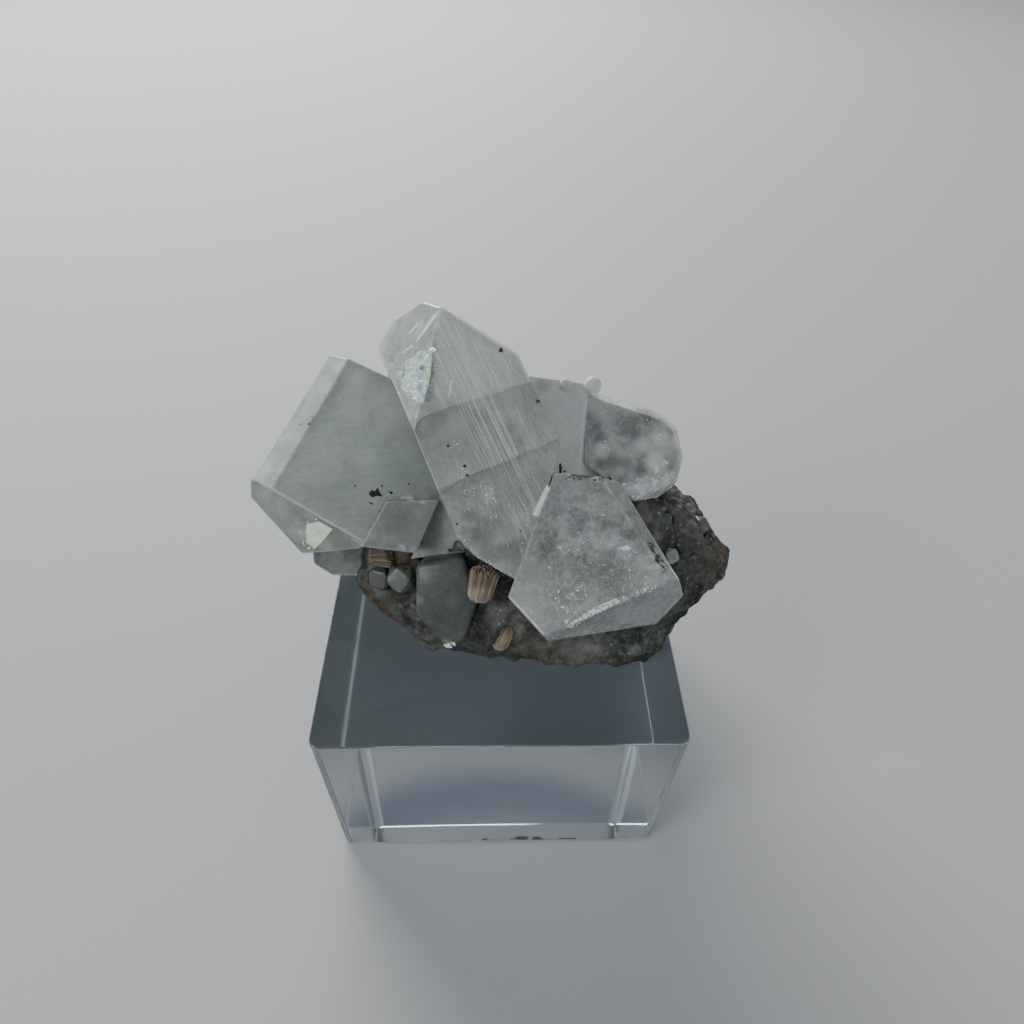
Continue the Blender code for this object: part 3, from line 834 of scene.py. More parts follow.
gather("central_veils", strew([(392, 322), (430, 312), (428, 350), (400, 352)], 12, [central],
                              (0.6, 2.0), (0.2, 1.0), 60, 31, 0.03)
       + strew([(450, 505), (515, 500), (525, 560), (480, 545)], 26, [central], (0.4, 1.6), (0.1, 1.0), 70, 32, 0.03),
       pale_veil)

# Left crystal.
# The broad milky blue-green one. Its lower right corner stopped growing early, which left a step and a
# wedge, and dark grains of the rock's minerals sit on its front.

milky, here, colour = crystal_skin("apophyllite_milky", (0.68, 0.745, 0.725), (0.54, 0.605, 0.585),
                                   0.66, 0.22, edge=0.45, veil=0.14, scale=70.0)
grain_lines = noise(milky, striae_place(milky, here, (0.45, -0.70, 0.55), 75, (3.0, 0.35, 0.5)), 1.0, 4.0, 0.6)
milky_colour = mix(milky, "MULTIPLY", 1.0, colour, ramp(milky, grain_lines, [(0.38, 0.88), (0.60, 1.0)]))
milky_place = here
# A darker copy of the milky skin, for the step and wedge: painted shade.
shaded, here, colour = crystal_skin("apophyllite_shaded", (0.54, 0.59, 0.56), (0.42, 0.46, 0.435),
                                    0.55, 0.20, edge=0.30, veil=0.18)
shaded_place, shaded_colour = here, colour

LEFT_MIDDLE = (-18.2, 2.5, 45.4)
LEFT_FACING = (0.45, -0.70, 0.55)
left = cut_crystal("crystal_left", LEFT_MIDDLE, LEFT_FACING, 5.0, 5.5, [
    (129, 22, 4.5), (127, -24, 2.9), (217, 0, 5.8), (48, 3, 8.8), (307, 0, 12.5)], 0)
combine(left, cut_crystal("corner_cutter", LEFT_MIDDLE, LEFT_FACING, 9.0, 9.0, [(127, 0, -8.0), (69, 0, -5.1)], 0),
        "DIFFERENCE")
left["cuts"] = list(left["cuts"]) + [tuple(face_normal(LEFT_FACING, turn, 0)) for turn in (307, 249)]
ease_edges(left, EDGE_EASE)
set_crystal(left, milky, "apophyllite_cluster")
left_step = cut_crystal("crystal_left_step", (-8.5, 0.5, 41.0), (0.35, -0.72, 0.60), 2.6, 4.0, [
    (73, 0, -0.4), (133, 0, 3.0), (244, 0, 5.7), (319, 0, 1.6)])
left_wedge = cut_crystal("crystal_left_wedge", (-5.0, 1.0, 39.0), (-0.25, -0.75, 0.61), 2.6, 4.0, [
    (30, 0, 0.8), (103, 0, 4.8), (167, 0, 1.2), (291, 0, 4.8)])
for crystal in (left_step, left_wedge):
    set_crystal(crystal, shaded, "apophyllite_cluster")
left_pair = [left]
shaded_colour = blotch(shaded, shaded_place, shaded_colour, (0.86, 0.92, 0.90), [
    ((402, 547), 0.5, 0.55), ((413, 549), 0.4, 0.50), ((384, 541), 0.5, 0.40), ((372, 536), 0.5, 0.35),
    ((418, 512), 0.6, 0.35), ((392, 538), 0.5, 0.25), ((444, 553), 0.4, 0.35), ((425, 505), 0.6, 0.35)],
    [left_step, left_wedge])
shaded_colour = blotch(shaded, shaded_place, shaded_colour, (0.20, 0.225, 0.205), [
    ((400, 520), 1.2, 0.25), ((388, 528), 0.7, 0.35), ((440, 535), 1.2, 0.30), ((425, 545), 0.7, 0.35),
    ((452, 520), 0.9, 0.25)], [left_step, left_wedge])
recolour(shaded, shaded_colour)
colour = blotch(milky, milky_place, milky_colour, (0.92, 0.96, 0.95), [
    ((325, 384), 1.2, 0.30), ((265, 470), 1.3, 0.5), ((285, 438), 1.0, 0.3), ((338, 366), 0.9, 0.5),
    ((355, 378), 1.7, 0.50), ((352, 408), 1.9, 0.36), ((392, 425), 2.2, 0.30), ((402, 447), 1.6, 0.34),
    ((378, 400), 1.5, 0.28), ((330, 455), 1.4, 0.15), ((368, 460), 1.4, 0.15),
    ((408, 499), 0.7, 0.6), ((425, 498), 0.7, 0.35)], left_pair)
# Darker spots: along the left band they are painted shade that dims its light; elsewhere darker cloudiness.
colour = blotch(milky, milky_place, colour, (0.36, 0.39, 0.37), [
    ((308, 418), 1.1, 0.40), ((340, 500), 2.2, 0.22), ((398, 440), 2.0, 0.18), ((330, 405), 1.0, 0.12),
    ((287, 452), 1.5, 0.42), ((272, 478), 1.2, 0.42), ((316, 404), 1.1, 0.30), ((300, 430), 1.2, 0.35),
    ((302, 402), 1.0, 0.50), ((297, 414), 0.9, 0.35),
    ((330, 378), 0.9, 0.25), ((372, 525), 1.2, 0.22), ((356, 520), 1.4, 0.20)], left_pair)
colour = grain(milky, milky_place, colour, 1.0, 0.93, 1.05, LEFT_FACING, 75, (1.6, 1.1, 1.4))
recolour(milky, colour)
grey_fleck = plain_skin("grey_fleck", (0.20, 0.21, 0.20), (0.10, 0.11, 0.10), 0.5)
gather("left_dark_grains", [flake(outline, left_pair) for outline in [
    [(368, 494), (371, 490), (375, 491), (378, 487), (380, 492), (383, 497), (377, 496), (372, 498)],
    [(388, 491), (394, 492), (391, 495)], [(368, 502), (372, 503), (375, 505), (370, 504)],
    [(379, 510), (383, 511), (382, 514), (379, 512)]]]
       + [flake(ragged(pixel, 1.3, index + 40), left_pair) for index, pixel in enumerate(
           [(409, 484), (382, 486), (384, 506), (355, 486)])], dark_fleck)
gather("left_grey_grains", strew([(292, 418), (318, 410), (322, 424), (296, 428)], 26, left_pair,
                                 (0.15, 0.45), (0.0, 0.04), 20, 41), grey_fleck)
gather("left_white_breaks", strew([(402, 496), (444, 495), (444, 503), (404, 504)], 90, [left_step, left],
                                  (0.10, 0.5), (-0.02, 0.03), 20, 42, 0.10, (0.15, 0.6), (1.0, -0.08), 30)
       + strew([(392, 542), (406, 540), (420, 548), (410, 553), (396, 549)], 40, [left_step, left_wedge],
               (0.08, 0.4), (-0.01, 0.03), 15, 48, 0.08, (0.06, 0.3), (0.9, 0.3), 30)
       + strew([(268, 452), (300, 402), (306, 404), (274, 456)], 14, left_pair, (0.1, 0.4), (0.0, 0.04), 20, 43),
       white_break)
gather("left_veils", strew([(335, 500), (345, 465), (372, 440), (376, 470), (356, 505)], 14, left_pair,
                           (1.2, 2.8), (0.6, 2.0), 40, 44, 0.02)
       + strew([(380, 538), (404, 543), (402, 530), (388, 530)], 10, [left_step],
               (0.4, 1.0), (0.2, 0.6), 30, 45, 0.03), pale_veil)

# Low left crystals.
# A milky green crystal under the left one, with a clearer foot below it. Pale flakes near its right end
# are a painted reflection.

low_green, here, colour = crystal_skin("apophyllite_green", (0.44, 0.50, 0.455), (0.33, 0.385, 0.345),
                                       0.50, 0.18, density=30.0, edge=0.35, veil=0.16)
low_place, low_colour = here, colour
low = [cut_crystal("crystal_low_left", (-20.0, 5.0, 37.0), (-0.30, -0.85, 0.44), 3.5, 5.0, [
    (0, 0, 7.4), (103, 0, 2.3), (184, 0, 6.1), (233, 0, 4.6), (290, 0, 5.9)], 0.25),
    cut_crystal("crystal_low_left_foot", (-17.5, 3.5, 32.0), (0.0, -0.85, 0.53), 2.5, 4.0, [
        (354, 0, 2.5), (90, 0, 2.0), (182, 0, 3.3), (235, 0, 4.2), (270, 0, 4.3)], 0.25)]
foot_skin, here, colour = crystal_skin("apophyllite_foot", (0.30, 0.340, 0.295), (0.19, 0.220, 0.185),
                                       0.50, 0.18, density=30.0, edge=0.25, veil=0.20, scale=200.0)
for crystal, skin in zip(low, (low_green, foot_skin)):
    set_crystal(crystal, skin, "apophyllite_cluster")
# Pale spots: painted highlight on the left rim and painted reflection round the bright patch near the right end.
low_colour = blotch(low_green, low_place, low_colour, (0.80, 0.88, 0.80), [
    ((262, 492), 1.6, 0.50), ((282, 508), 1.4, 0.30), ((300, 532), 1.4, 0.60), ((312, 512), 1.0, 0.40),
    ((326, 545), 1.0, 0.35)], low)
low_colour = blotch(low_green, low_place, low_colour, (0.22, 0.26, 0.22), [
    ((345, 547), 1.2, 0.40), ((290, 548), 0.9, 0.30)], low)
recolour(low_green, low_colour)
# Painted reflection: pale green-white and white flakes near the right end stand in for light the face reflects.
painted_reflection = plain_skin("painted_reflection", (0.96, 1.0, 0.90), (0.62, 0.84, 0.52), 0.25, scale=800.0)
gather("low_painted_reflection", [flake([(306, 524), (319, 521), (333, 529), (321, 543), (315, 549), (306, 543)], low,
                                narrow=0.97)]
       + strew([(298, 530), (308, 517), (318, 519), (314, 552), (303, 546)], 110, low, (0.10, 0.45), (-0.01, 0.02), 12,
               47, 0.10, (0.2, 0.8)), painted_reflection)
gather("low_painted_reflection_white", strew([(308, 526), (320, 523), (331, 529), (320, 542), (310, 540)], 26, low, (0.2, 0.8),
                                (-0.03, -0.01), 8, 49, 0.05, (0.2, 0.6), (0.6, 0.8), 30), white_break)

# Right back crystals.
# A plain clear plate behind, and a rounded many-faced knob at its right end. Two small beads stand on
# its top edge.

clear_grey, here, colour = crystal_skin("apophyllite_clear", (0.86, 0.875, 0.87), (0.72, 0.74, 0.735),
                                        0.92, 0.18, edge=0.05, veil=0.22)
plate_place, plate_colour = here, colour
knobbly, knob_place, knob_colour = crystal_skin("apophyllite_knob", (0.74, 0.75, 0.745), (0.36, 0.375, 0.37),
                                              0.66, 0.14, edge=0.35, veil=0.45, scale=260.0)
right_back = cut_crystal("crystal_right_back", (9.5, 6.0, 45.0), (0.05, -0.66, 0.75), 3.6, 4.0, [
    (80, 3, 4.1), (62, 3, 3.3), (180, 0, 8.0), (263, 0, 5.5), (352, 45, 1.4)], 0.55)
smooth_by_angle(right_back, 60)
knob = cut_crystal("crystal_right_knob", (13.2, 6.1, 41.7), (0.20, -0.62, 0.76), 5.0, 4.0, [
    (68, -4, 4.5), (57, -4, 4.3), (34, -4, 4.6), (358, -4, 4.9), (333, -4, 5.2), (293, -4, 5.3),
    (266, -4, 5.1), (221, 0, 5.1), (165, 0, 6.0), (62, 38, 5.6), (34, 38, 5.8), (358, 38, 6.0),
    (325, 38, 6.2), (290, 38, 6.3)], 0.5)
set_crystal(right_back, clear_grey, "apophyllite_cluster")
set_crystal(knob, knobbly, "apophyllite_cluster")
smooth_by_angle(knob, 40)
# Painted shadow: dark spots on the knob's left side and under the pale ridge by the plate.
knob_colour = blotch(knobbly, knob_place, knob_colour, (0.17, 0.18, 0.18), [
    ((612, 461), 1.3, 0.65), ((626, 463), 1.0, 0.55), ((640, 472), 0.8, 0.5), ((600, 436), 0.9, 0.4),
    ((648, 419), 0.8, 0.45), ((625, 425), 1.6, 0.30), ((622, 480), 1.0, 0.35), ((672, 468), 0.7, 0.3),
    ((598, 424), 0.7, 0.50), ((600, 463), 0.8, 0.60), ((636, 437), 0.9, 0.35), ((672, 431), 0.8, 0.40)],
    [knob])
# Painted highlight: white spots where the knob's lower faces and its ridge by the plate catch the light.
knob_colour = blotch(knobbly, knob_place, knob_colour, (1.0, 1.0, 1.0), [
    ((655, 464), 1.5, 1.0), ((645, 490), 2.0, 1.0), ((628, 492), 1.2, 0.8), ((665, 416), 1.3, 0.9),
    ((602, 450), 1.0, 0.8), ((677, 442), 1.3, 0.7), ((665, 482), 1.5, 0.9), ((641, 446), 1.1, 0.6),
    ((660, 438), 1.1, 0.6), ((628, 406), 1.3, 0.6), ((684, 460), 1.1, 0.6)], [knob])
recolour(knobbly, knob_colour)
# Painted shadow: the dark spots down the plate's right end, beside the knob.
plate_colour = blotch(clear_grey, plate_place, plate_colour, (0.30, 0.31, 0.31), [
    ((594, 412), 0.5, 0.30), ((592, 424), 0.5, 0.35), ((593, 436), 0.5, 0.35), ((593, 460), 0.6, 0.50),
    ((542, 386), 1.0, 0.50)], [right_back])
# Pale spots: the one at the knob's ridge is a painted highlight, the others paler patches.
plate_colour = blotch(clear_grey, plate_place, plate_colour, (1.0, 1.0, 1.0), [
    ((599, 449), 0.5, 0.60), ((585, 392), 1.0, 0.35), ((565, 440), 1.2, 0.25), ((557, 415), 1.0, 0.2)], [right_back])
recolour(clear_grey, plate_colour)
# White splinters: white breaks, with painted glints on the knob's lower faces and at its ridge by the plate.
gather("knob_breaks_and_glints", strew([(624, 484), (650, 474), (682, 476), (665, 497), (634, 500)], 170, [knob],
                                  (0.08, 0.60), (-0.01, 0.03), 20, 61, 0.10, (0.15, 0.7), (0.8, -0.6), 35)
       + strew([(632, 496), (652, 498), (674, 484), (672, 492), (655, 502)], 110, [knob], (0.08, 0.45), (-0.01, 0.03),
               25, 62)
       + strew([(646, 456), (664, 452), (670, 470), (655, 474)], 60, [knob], (0.08, 0.50), (-0.01, 0.03), 20, 64,
               0.10, (0.15, 0.6), (0.5, 0.85), 40)
       + strew([(594, 446), (606, 440), (610, 452), (598, 458)], 30, [knob, right_back], (0.06, 0.30), (-0.01, 0.03),
               20, 65)
       + strew([(636, 486), (650, 479), (662, 485), (656, 497), (640, 498)], 46, [knob], (0.3, 0.9), (-0.01, 0.02),
               14, 73, 0.05, (0.3, 0.8), (0.8, -0.6), 30)
       + strew([(663, 478), (674, 471), (682, 476), (676, 488), (667, 490)], 34, [knob], (0.3, 0.8), (-0.01, 0.02),
               14, 74, 0.05, (0.3, 0.8), (0.4, 0.9), 30)
       + strew([(646, 461), (655, 457), (661, 464), (659, 474), (652, 470)], 16, [knob], (0.2, 0.7), (-0.01, 0.02),
               14, 75, 0.05, (0.3, 0.7), (0.3, 0.9), 30)
       + strew([(652, 430), (660, 426), (667, 433), (658, 440)], 10, [knob], (0.2, 0.6), (-0.01, 0.02), 14, 76,
               0.05, (0.2, 0.6))
       + strew([(640, 404), (668, 412), (680, 428), (660, 420)], 50, [knob], (0.06, 0.30), (-0.01, 0.03), 20, 66)
       + strew([(600, 405), (672, 412), (686, 440), (640, 450)], 40, [knob], (0.04, 0.16), (-0.01, 0.03), 25, 63),
       white_break)


SMALL_SWELL = 1.08


def small_crystal(name, middle, facing, half, spin, skin, node, crisp):
    """A small blocky crystal with its four corners cut, as apophyllite's are, and its edges rounded, less
    so the crisper it is."""
    half *= SMALL_SWELL
    faces = [(spin + 90 * k, 0, half) for k in range(4)]
    faces += [(spin + 45 + 90 * k, 38, half * 1.16) for k in range(4)]
    crystal = cut_crystal(name, middle, facing, half, half, faces, 0)
    creases = crystal.data.attributes.new("crease_edge", "FLOAT", "EDGE")
    for crease in creases.data:
        crease.value = crisp
    rounded = crystal.modifiers.new("rounded", "SUBSURF")
    rounded.levels = rounded.render_levels = 3
    apply_modifiers(crystal)
    smooth_by_angle(crystal, 60)
    set_crystal(crystal, skin, node)
    return crystal


# The beads' pale skin is partly painted highlight, for the light they catch.
bead_highlight_skin, here, colour = crystal_skin("apophyllite_bead_highlight", (0.90, 0.92, 0.92), (0.70, 0.72, 0.72),
                                         0.70, 0.10, edge=0.4, veil=0.2, scale=400.0)
small_crystal("bead_inner", (6.4, 6.6, 50.1), (-0.20, -0.50, 0.84), 0.70, 15, bead_highlight_skin, "apophyllite_cluster", 0)
small_crystal("bead_outer", (9.0, 6.6, 50.1), (0.20, -0.60, 0.78), 0.90, 40, bead_highlight_skin, "apophyllite_cluster", 0)

# Right front crystal.
# The widest one, clear but full of old cracks, their sparkle painted with white splinters. Its lower edge is
# chipped white, and grains of dark rock sit where it meets its neighbours.

cracked, here, colour = crystal_skin("apophyllite_cracked", (0.78, 0.80, 0.795), (0.38, 0.40, 0.395),
                                     0.36, 0.06, edge=0.6, veil=0.35, scale=230.0)
crazed = ramp(cracked, noise(cracked, here, 900.0, 6.0, 0.72, 1.2), [(0.45, 0.0), (0.50, 0.60), (0.55, 0.0)])
crazed_where = ramp(cracked, noise(cracked, here, 150.0, 2.0), [(0.42, 0.15), (0.60, 1.0)])
colour = mix(cracked, "MIX", mix(cracked, "MULTIPLY", 1.0, crazed, crazed_where), colour, (0.92, 0.95, 0.96))
colour = grain(cracked, here, colour, 1.0, 0.72, 1.22, (-0.22, -0.48, 0.85), 20, (2.6, 1.7, 2.0))
recolour(cracked, colour)
front_right = cut_crystal("crystal_right_front", (8.4, -10.9, 42.4), (-0.22, -0.48, 0.85), 4.5, 9.5, [
    (102, 0, 7.6), (180, 0, 5.8), (243, 3, 7.4), (313, 18, 5.2),
    (273, -40, 3.6), (359, -25, 6.8), (48, -2, 5.5), (50, 42, 6.4)], 0.22)
set_crystal(front_right, cracked, "apophyllite_cluster")
carrier = [front_right]
colour = blotch(cracked, here, colour, (0.22, 0.235, 0.235), [
    ((590, 565), 2.4, 0.40), ((612, 582), 1.5, 0.35), ((575, 520), 1.6, 0.30), ((630, 535), 1.4, 0.25),
    ((560, 595), 1.0, 0.30), ((600, 510), 1.4, 0.25), ((548, 545), 0.9, 0.30), ((585, 625), 1.6, 0.35),
    ((552, 632), 0.9, 0.35), ((640, 600), 1.4, 0.30), ((608, 527), 1.4, 0.50), ((598, 497), 1.3, 0.30),
    ((575, 532), 1.1, 0.25), ((531, 572), 0.9, 0.35), ((638, 550), 0.8, 0.20), ((604, 622), 1.8, 0.30)],
    carrier)
colour = blotch(cracked, here, colour, (0.95, 0.98, 0.98), [
    ((528, 603), 2.0, 0.55), ((545, 622), 1.5, 0.45), ((535, 570), 1.3, 0.40), ((625, 548), 0.9, 0.70),
    ((560, 548), 0.6, 0.6), ((650, 580), 1.2, 0.35), ((578, 488), 1.0, 0.25), ((620, 612), 1.0, 0.30),
    ((518, 590), 0.8, 0.45), ((532, 632), 0.9, 0.45), ((568, 575), 0.7, 0.40), ((640, 566), 0.8, 0.40)], carrier)
colour = blotch(cracked, here, colour, (0.42, 0.66, 0.60), [
    ((622, 547), 0.9, 0.35), ((600, 560), 0.7, 0.30), ((575, 585), 0.8, 0.25), ((640, 590), 0.8, 0.25),
    ((530, 575), 0.8, 0.20)], carrier)
recolour(cracked, colour)
CRACKED_MIDDLE = [(560, 545), (605, 532), (645, 555), (650, 590), (600, 605), (570, 600)]
# White splinters: the cracks' own whiteness, with painted sparkle.
gather("right_cracks_and_sparkle", strew(CRACKED_MIDDLE, 300, carrier, (0.04, 0.20), (-0.01, 0.06), 30, 51, 0.08)
       + strew([(572, 548), (612, 540), (640, 562), (622, 592), (584, 596)], 340, carrier, (0.08, 0.34), (-0.01, 0.03), 12,
               71, 0.05, (0.05, 0.12))
       + strew([(556, 480), (606, 482), (628, 520), (560, 530)], 120, carrier, (0.05, 0.25), (-0.01, 0.03), 10, 72, 0.05,
               (0.05, 0.12), (0.9, 0.2), 50)
       + strew(CRACKED_MIDDLE, 260, carrier, (0.12, 0.55), (-0.01, 0.03), 8, 58, 0.04, (0.03, 0.08))
       + strew([(545, 560), (610, 500), (655, 575), (560, 620)], 160, carrier, (0.10, 0.45), (-0.01, 0.03), 8, 59,
               0.04, (0.03, 0.08))
       + strew([(548, 560), (575, 556), (590, 600), (570, 620), (545, 600)], 90, carrier,
               (0.06, 0.30), (-0.01, 0.05), 30, 52, 0.08)
       + strew([(552, 500), (612, 505), (650, 560), (560, 550)], 90, carrier, (0.05, 0.22), (-0.01, 0.05), 30, 56, 0.08)
       + strew([(552, 602), (572, 590), (580, 612), (562, 624)], 90, carrier, (0.10, 0.55), (-0.01, 0.03), 12, 60,
               0.06, (0.05, 0.14), (0.6, 0.8), 30)
       + strew([(556, 535), (640, 540), (652, 560), (560, 560)], 160, carrier, (0.08, 0.45), (-0.01, 0.03), 10, 67,
               0.05, (0.04, 0.12), (0.9, -0.3), 50)
       + strew([(513, 585), (548, 560), (552, 600), (530, 620)], 90, carrier, (0.10, 0.50), (-0.01, 0.03), 10, 68,
               0.05, (0.04, 0.10), (0.6, 0.8), 30)
       + strew([(567, 626), (590, 611), (618, 598), (621, 601), (594, 615), (570, 629)], 210, carrier,
               (0.06, 0.26), (-0.03, 0.02), 25, 53, 0.25)
       + strew([(622, 597), (658, 583), (661, 587), (624, 602)], 40, carrier, (0.06, 0.22), (-0.02, 0.02), 25, 57, 0.2),
       white_break)
gather("right_bright_chips", [flake(outline, carrier) for outline in [
    [(569, 625), (580, 618), (591, 611), (588, 615), (576, 623)],
    [(592, 609), (604, 603), (615, 599), (613, 602), (598, 607)],
    [(619, 548), (627, 545), (632, 549), (624, 551)], [(556, 547), (562, 546), (561, 549)],
    [(563, 620), (569, 619), (567, 625)]]], green_break)
gather("right_veils", strew([(545, 500), (615, 500), (655, 560), (660, 585), (560, 545)], 24, carrier,
                            (0.8, 2.4), (0.5, 2.0), 75, 55, 0.03), pale_veil)
gather("right_dark_grains", [flake(outline, [front_right, central, right_back, knob], proud=0.03) for outline in [
    [(559, 464), (561, 463), (562, 470), (561, 477), (559, 475)], [(563, 470), (567, 471), (564, 473)],
    [(570, 475), (585, 475), (596, 477), (584, 477)], [(608, 475), (612, 479), (612, 481), (609, 479)],
    [(648, 544), (653, 547), (656, 554), (652, 552)], [(655, 555), (660, 561), (659, 564), (655, 560)],
    [(661, 564), (665, 569), (662, 567)]]]
       + strew([(559, 462), (563, 462), (566, 474), (612, 477), (612, 481), (560, 478)], 60,
               [front_right, central, right_back, knob], (0.06, 0.24), (-0.02, 0.02), 20, 69, 0.2)
       + strew([(646, 540), (651, 541), (669, 568), (664, 573)], 60, carrier, (0.06, 0.30), (-0.03, 0.02), 20, 70,
               0.2), dark_fleck)

# Hidden crystals.
# Two plainer ones on the side turned away from the camera, of the same apophyllite.

hidden = {
    "crystal_back_upright": ((5.5, 9.5, 41.0), (0.25, 0.90, 0.36), 3.6, 3.6, [
        (0, 0, 3.2), (180, 0, 3.2), (60, 12, 5.2), (120, 12, 5.0), (270, 0, 5.5)], clear_grey),
    "crystal_back_left": ((-8.5, 9.0, 39.5), (-0.35, 0.85, 0.40), 3.8, 3.8, [
        (15, 0, 4.2), (195, 0, 4.2), (105, 5, 4.6), (285, 0, 5.0),
        (60, 30, 5.8), (150, 30, 5.9)], milky),
}
for name, (middle, facing, front, back, faces, skin) in hidden.items():
    set_crystal(cut_crystal(name, middle, facing, front, back, faces), skin, "apophyllite_cluster")

# Smoky crystal.
# The grey-green one at the lower front, set into the rock under the cluster.

smoky, here, colour = crystal_skin("apophyllite_smoky", (0.180, 0.200, 0.175), (0.095, 0.112, 0.092),
                                   0.55, 0.24, density=60.0, edge=0.0, veil=0.02, scale=190.0)
lower = cut_crystal("crystal_lower_front", (-6.5, -7.5, 31.5), (-0.15, -0.80, 0.58), 3.0, 3.0, [
    (106, 0, 6.2), (25, -10, 4.7), (348, -6, 3.4), (317, 0, 3.5), (231, 5, 1.0), (185, 0, 1.7)], 0.8)
smooth_by_angle(lower, 60)
set_crystal(lower, smoky, "apophyllite_lower_front")
colour = grain(smoky, here, colour, 1.0, 0.78, 1.20, (-0.15, -0.80, 0.58), 0, (1.8, 1.8, 1.8))
# Painted highlight: paler spots on the left edge and round the sparkle at the lower end.
colour = blotch(smoky, here, colour, (0.42, 0.44, 0.40), [
    ((419, 600), 0.7, 0.45), ((424, 575), 0.8, 0.35), ((447, 643), 0.7, 0.7), ((432, 636), 0.7, 0.35),
    ((455, 600), 1.0, 0.20)], [lower])
recolour(smoky, colour)
# Painted glint: two white flakes.
gather("smoky_painted_glint", [flake([(443, 645), (449, 643), (452, 648), (447, 648)], [lower, rock]),
                         flake([(450, 642), (455, 642), (456, 646), (452, 645)], [lower, rock])], white_break)

# Small loose crystals.
# Little blocky apophyllites on the rock round the cluster, each seated in its own hollow.

dusky, here, colour = crystal_skin("apophyllite_dusky", (0.27, 0.295, 0.255), (0.13, 0.15, 0.125),
                                   0.50, 0.20, density=40.0, edge=0.08, veil=0.15, scale=300.0)
SMALL_CRYSTALS = {
    "left": ((-10.1, -4.7, 34.0), (-0.30, -0.75, 0.60), 1.25, 20, dusky),
    "edge": ((-12.5, -3.1, 32.3), (-0.35, -0.80, 0.50), 1.15, 50, smoky),
    "right": ((17.1, 0.2, 37.3), (0.35, -0.50, 0.79), 0.90, 10, dusky),
    "side": ((21.6, 1.1, 35.7), (0.55, -0.45, 0.70), 0.85, 30, dusky),
    "low": ((17.7, -2.9, 35.4), (0.35, -0.70, 0.62), 0.80, 55, shaded),
}
for name, (middle, facing, half, spin, skin) in SMALL_CRYSTALS.items():
    small_crystal("little_crystal_" + name, middle, facing, half, spin, skin, "apophyllite_small_" + name, 0.40)

# Rock tones and druse.
# The rock is paler on its right lobe and along its lower edge, where a druse of tiny pale crystals coats
# it. The hollows under the left crystal get painted shade.

rock_colour = blotch(basalt, rock_place, rock_stone, (0.185, 0.190, 0.172), [
    ((690, 525), 3.4, 0.50), ((700, 560), 3.0, 0.35), ((655, 520), 2.4, 0.60), ((645, 505), 2.0, 0.60),
    ((575, 648), 2.6, 0.70), ((600, 652), 2.6, 0.40), ((530, 645), 2.4, 0.70), ((500, 620), 2.4, 0.55),
    ((488, 605), 1.8, 0.45), ((440, 652), 1.6, 0.4), ((368, 598), 1.8, 0.45), ((555, 640), 2.0, 0.5)], [rock])
rock_colour = blotch(basalt, rock_place, rock_colour, (0.30, 0.31, 0.29), [
    ((648, 519), 0.7, 0.6), ((665, 516), 0.6, 0.6), ((658, 535), 0.7, 0.5), ((697, 525), 0.6, 0.5),
    ((684, 530), 0.6, 0.6), ((672, 554), 0.8, 0.9), ((590, 648), 0.7, 0.4), ((632, 650), 0.7, 0.4)], [rock])
# Painted shade: near-black in the hollows under the left crystal and beside the smoky one.
rock_colour = blotch(basalt, rock_place, rock_colour, (0.008, 0.010, 0.009), [
    ((403, 600), 1.6, 0.80), ((352, 578), 1.2, 0.70), ((364, 560), 1.4, 0.80), ((404, 618), 1.2, 0.5),
    ((473, 600), 1.0, 0.6), ((500, 590), 1.2, 0.5)], [rock])
rock_colour = blotch(basalt, rock_place, rock_colour, (0.20, 0.13, 0.085), [
    ((719, 548), 1.2, 0.7), ((712, 575), 1.4, 0.4), ((380, 570), 1.2, 0.35)], [rock])
join(basalt, rock_colour, basalt_shader.inputs["Base Color"])

druse_skin, here, colour = crystal_skin("apophyllite_druse", (0.46, 0.48, 0.46), (0.26, 0.28, 0.26),
                                        0.70, 0.16, edge=0.0, veil=0.2, scale=400.0)
DRUSE_PLACES = [
    ([(655, 508), (690, 503), (712, 540), (700, 570), (672, 545)], 110, (0.10, 0.38)),
    ([(668, 548), (678, 548), (678, 562), (668, 562)], 16, (0.2, 0.6)),
    ([(560, 645), (650, 640), (660, 652), (600, 655)], 80, (0.10, 0.32)),
    ([(470, 608), (500, 606), (505, 622), (475, 640)], 50, (0.10, 0.32)),
    ([(690, 570), (716, 560), (705, 590), (680, 600)], 40, (0.10, 0.30)),
]
gather("rock_druse", [shard for index, (outline, count, size) in enumerate(DRUSE_PLACES)
                      for shard in strew(outline, count, [rock], size, (-0.02, 0.06), 70, 81 + index, 0.6,
                                         (0.5, 1.0))], druse_skin)

# Stilbite sheaves.
# Peach to tan stilbite: thin blades grown side by side in a bundle that is narrow at its waist and
# spreads at both ends.

BLADE_WIDTH = 0.34
BLADE_THICK = 0.22
BLADES = 84

deselect()
bpy.ops.mesh.primitive_cube_add(size=1)
blade = bpy.context.object
blade.name = "blade"
edit(blade)
bpy.ops.mesh.select_all(action="SELECT")
bpy.ops.transform.resize(value=(1, 1, 0.8))
bpy.ops.mesh.subdivide(number_cuts=1)
done()
for vertex in blade.data.vertices:
    vertex.select = False
for part in list(blade.data.edges) + list(blade.data.polygons):
    part.select = False
bpy.context.tool_settings.mesh_select_mode = (False, False, True)
for way in (-1, 1):
    for face in blade.data.polygons:
        face.select = face.normal.z * way > 0.9 and abs(face.center.z) > 0.35
    bpy.ops.object.mode_set(mode="EDIT")
    bpy.ops.mesh.extrude_region_move(TRANSFORM_OT_translate={"value": (0, 0, 0.10 * way)})
    bpy.ops.transform.resize(value=(0.45, 0.4, 1.0), center_override=(0, 0, 0.5 * way))
    done()
    for part in list(blade.data.edges) + list(blade.data.polygons) + list(blade.data.vertices):
        part.select = False


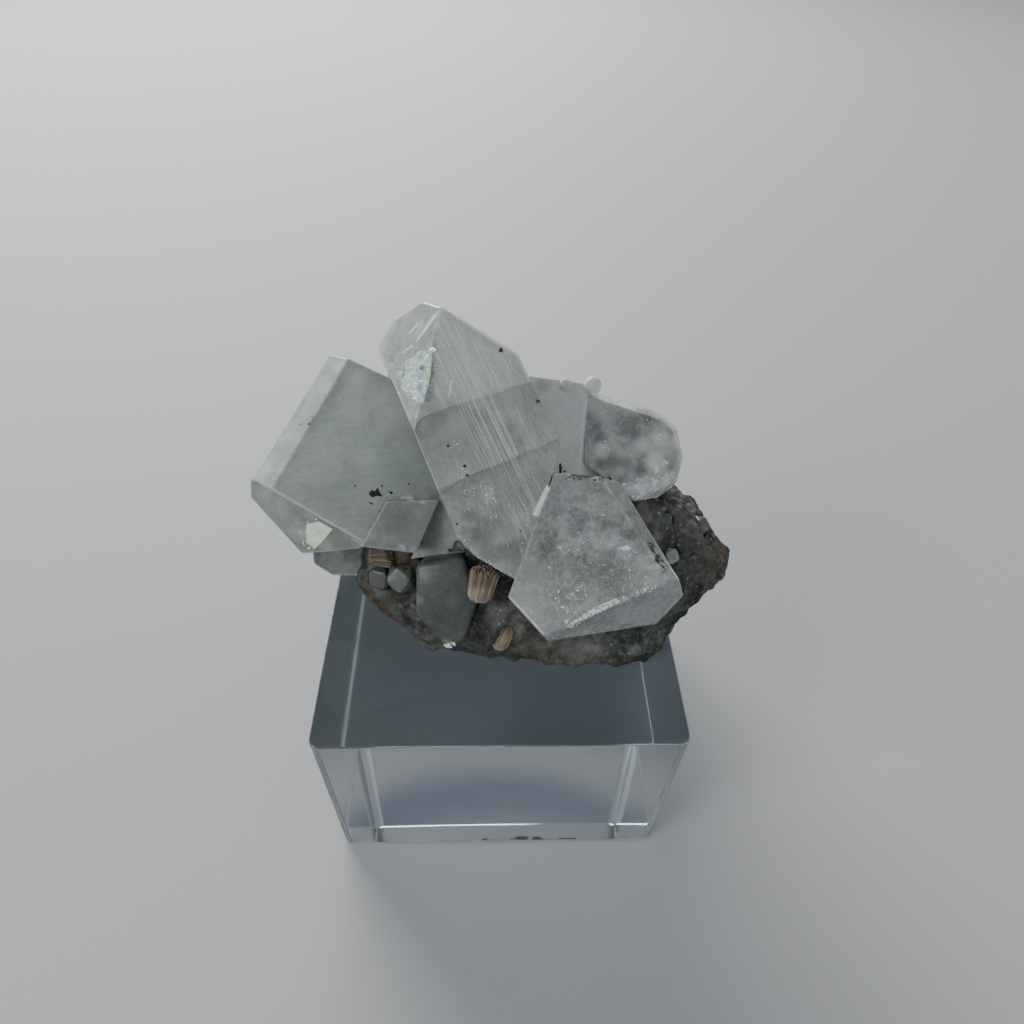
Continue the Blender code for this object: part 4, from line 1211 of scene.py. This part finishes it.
def stilbite_skin(name, axis, pale, deep):
    """Silky stilbite, its colour drawn out along the blades."""
    mat, shader = new_material(name)
    shader.inputs["Sheen Weight"].default_value = 0.15
    place = add_node(mat, "ShaderNodeTexCoord").outputs["Object"]
    fibres = noise(mat, striae_place(mat, place, axis, 0, (6.0, 6.0, 0.6)), 1.0, 4.0, 0.6)
    patches = noise(mat, place, 380.0, 3.0)
    colour = mix(mat, "MIX", ramp(mat, patches, [(0.40, 0.0), (0.62, 1.0)]), pale, deep)
    colour = mix(mat, "MULTIPLY", 1.0, colour, ramp(mat, fibres, [(0.34, 0.62), (0.60, 1.0)]))
    join(mat, colour, shader.inputs["Base Color"])
    join(mat, ramp(mat, fibres, [(0.3, 0.32), (0.7, 0.5)]), shader.inputs["Roughness"])
    bump = add_node(mat, "ShaderNodeBump", Strength=0.5, Distance=0.0001)
    join(mat, fibres, bump.inputs["Height"])
    join(mat, bump.outputs["Normal"], shader.inputs["Normal"])
    return mat


SHEAVES = {
    "front": ((-1.9, -8.0, 37.0), (0.22, 0.58, 0.78), 3.8, 1.25, 1.55, (0.40, 0.34, 0.26), (0.22, 0.145, 0.085)),
    "low": ((0.3, -8.9, 29.6), (0.42, 0.50, 0.76), 3.4, 0.85, 1.15, (0.46, 0.38, 0.30), (0.27, 0.19, 0.125)),
    "left": ((-12.3, -2.4, 34.8), (0.90, -0.25, 0.35), 3.2, 0.95, 1.35, (0.23, 0.190, 0.140), (0.13, 0.095, 0.06)),
}
for name, (middle, axis, length, waist, flare, pale, deep) in SHEAVES.items():
    side, other, run = facing_axes(axis)
    blades = []
    blade_chance = random.Random(len(name))
    for k in range(BLADES):
        share = ((k + 0.5) / BLADES) ** 0.5
        turn = k * 2.39996
        around = side * cos(turn) + other * sin(turn)
        reach = length * (1 - 0.30 * share ** 3) * blade_chance.uniform(0.92, 1.0)
        low_end = Vector(middle) + around * (waist - 0.12) * share - run * reach / 2
        high_end = Vector(middle) + around * (flare - 0.12) * share + run * reach / 2
        copy = blade.copy()
        copy.data = blade.data.copy()
        bpy.context.scene.collection.objects.link(copy)
        shape = Matrix.Diagonal((BLADE_WIDTH * MM, BLADE_THICK * MM, reach * MM, 1))
        face_up = (high_end - low_end).to_track_quat("Z", "Y").to_matrix().to_4x4()
        spin = Matrix.Rotation(blade_chance.uniform(0, pi), 4, "Z")
        copy.data.transform(Matrix.Translation((low_end + high_end) / 2 * MM) @ face_up @ spin @ shape)
        blades.append(copy)
    sheaf = gather("stilbite_blades_" + name, blades, stilbite_skin("stilbite_" + name, axis, pale, deep))
    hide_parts("stilbite_sheaf_" + name)
bpy.data.objects.remove(blade)
bpy.data.objects.remove(splinter)
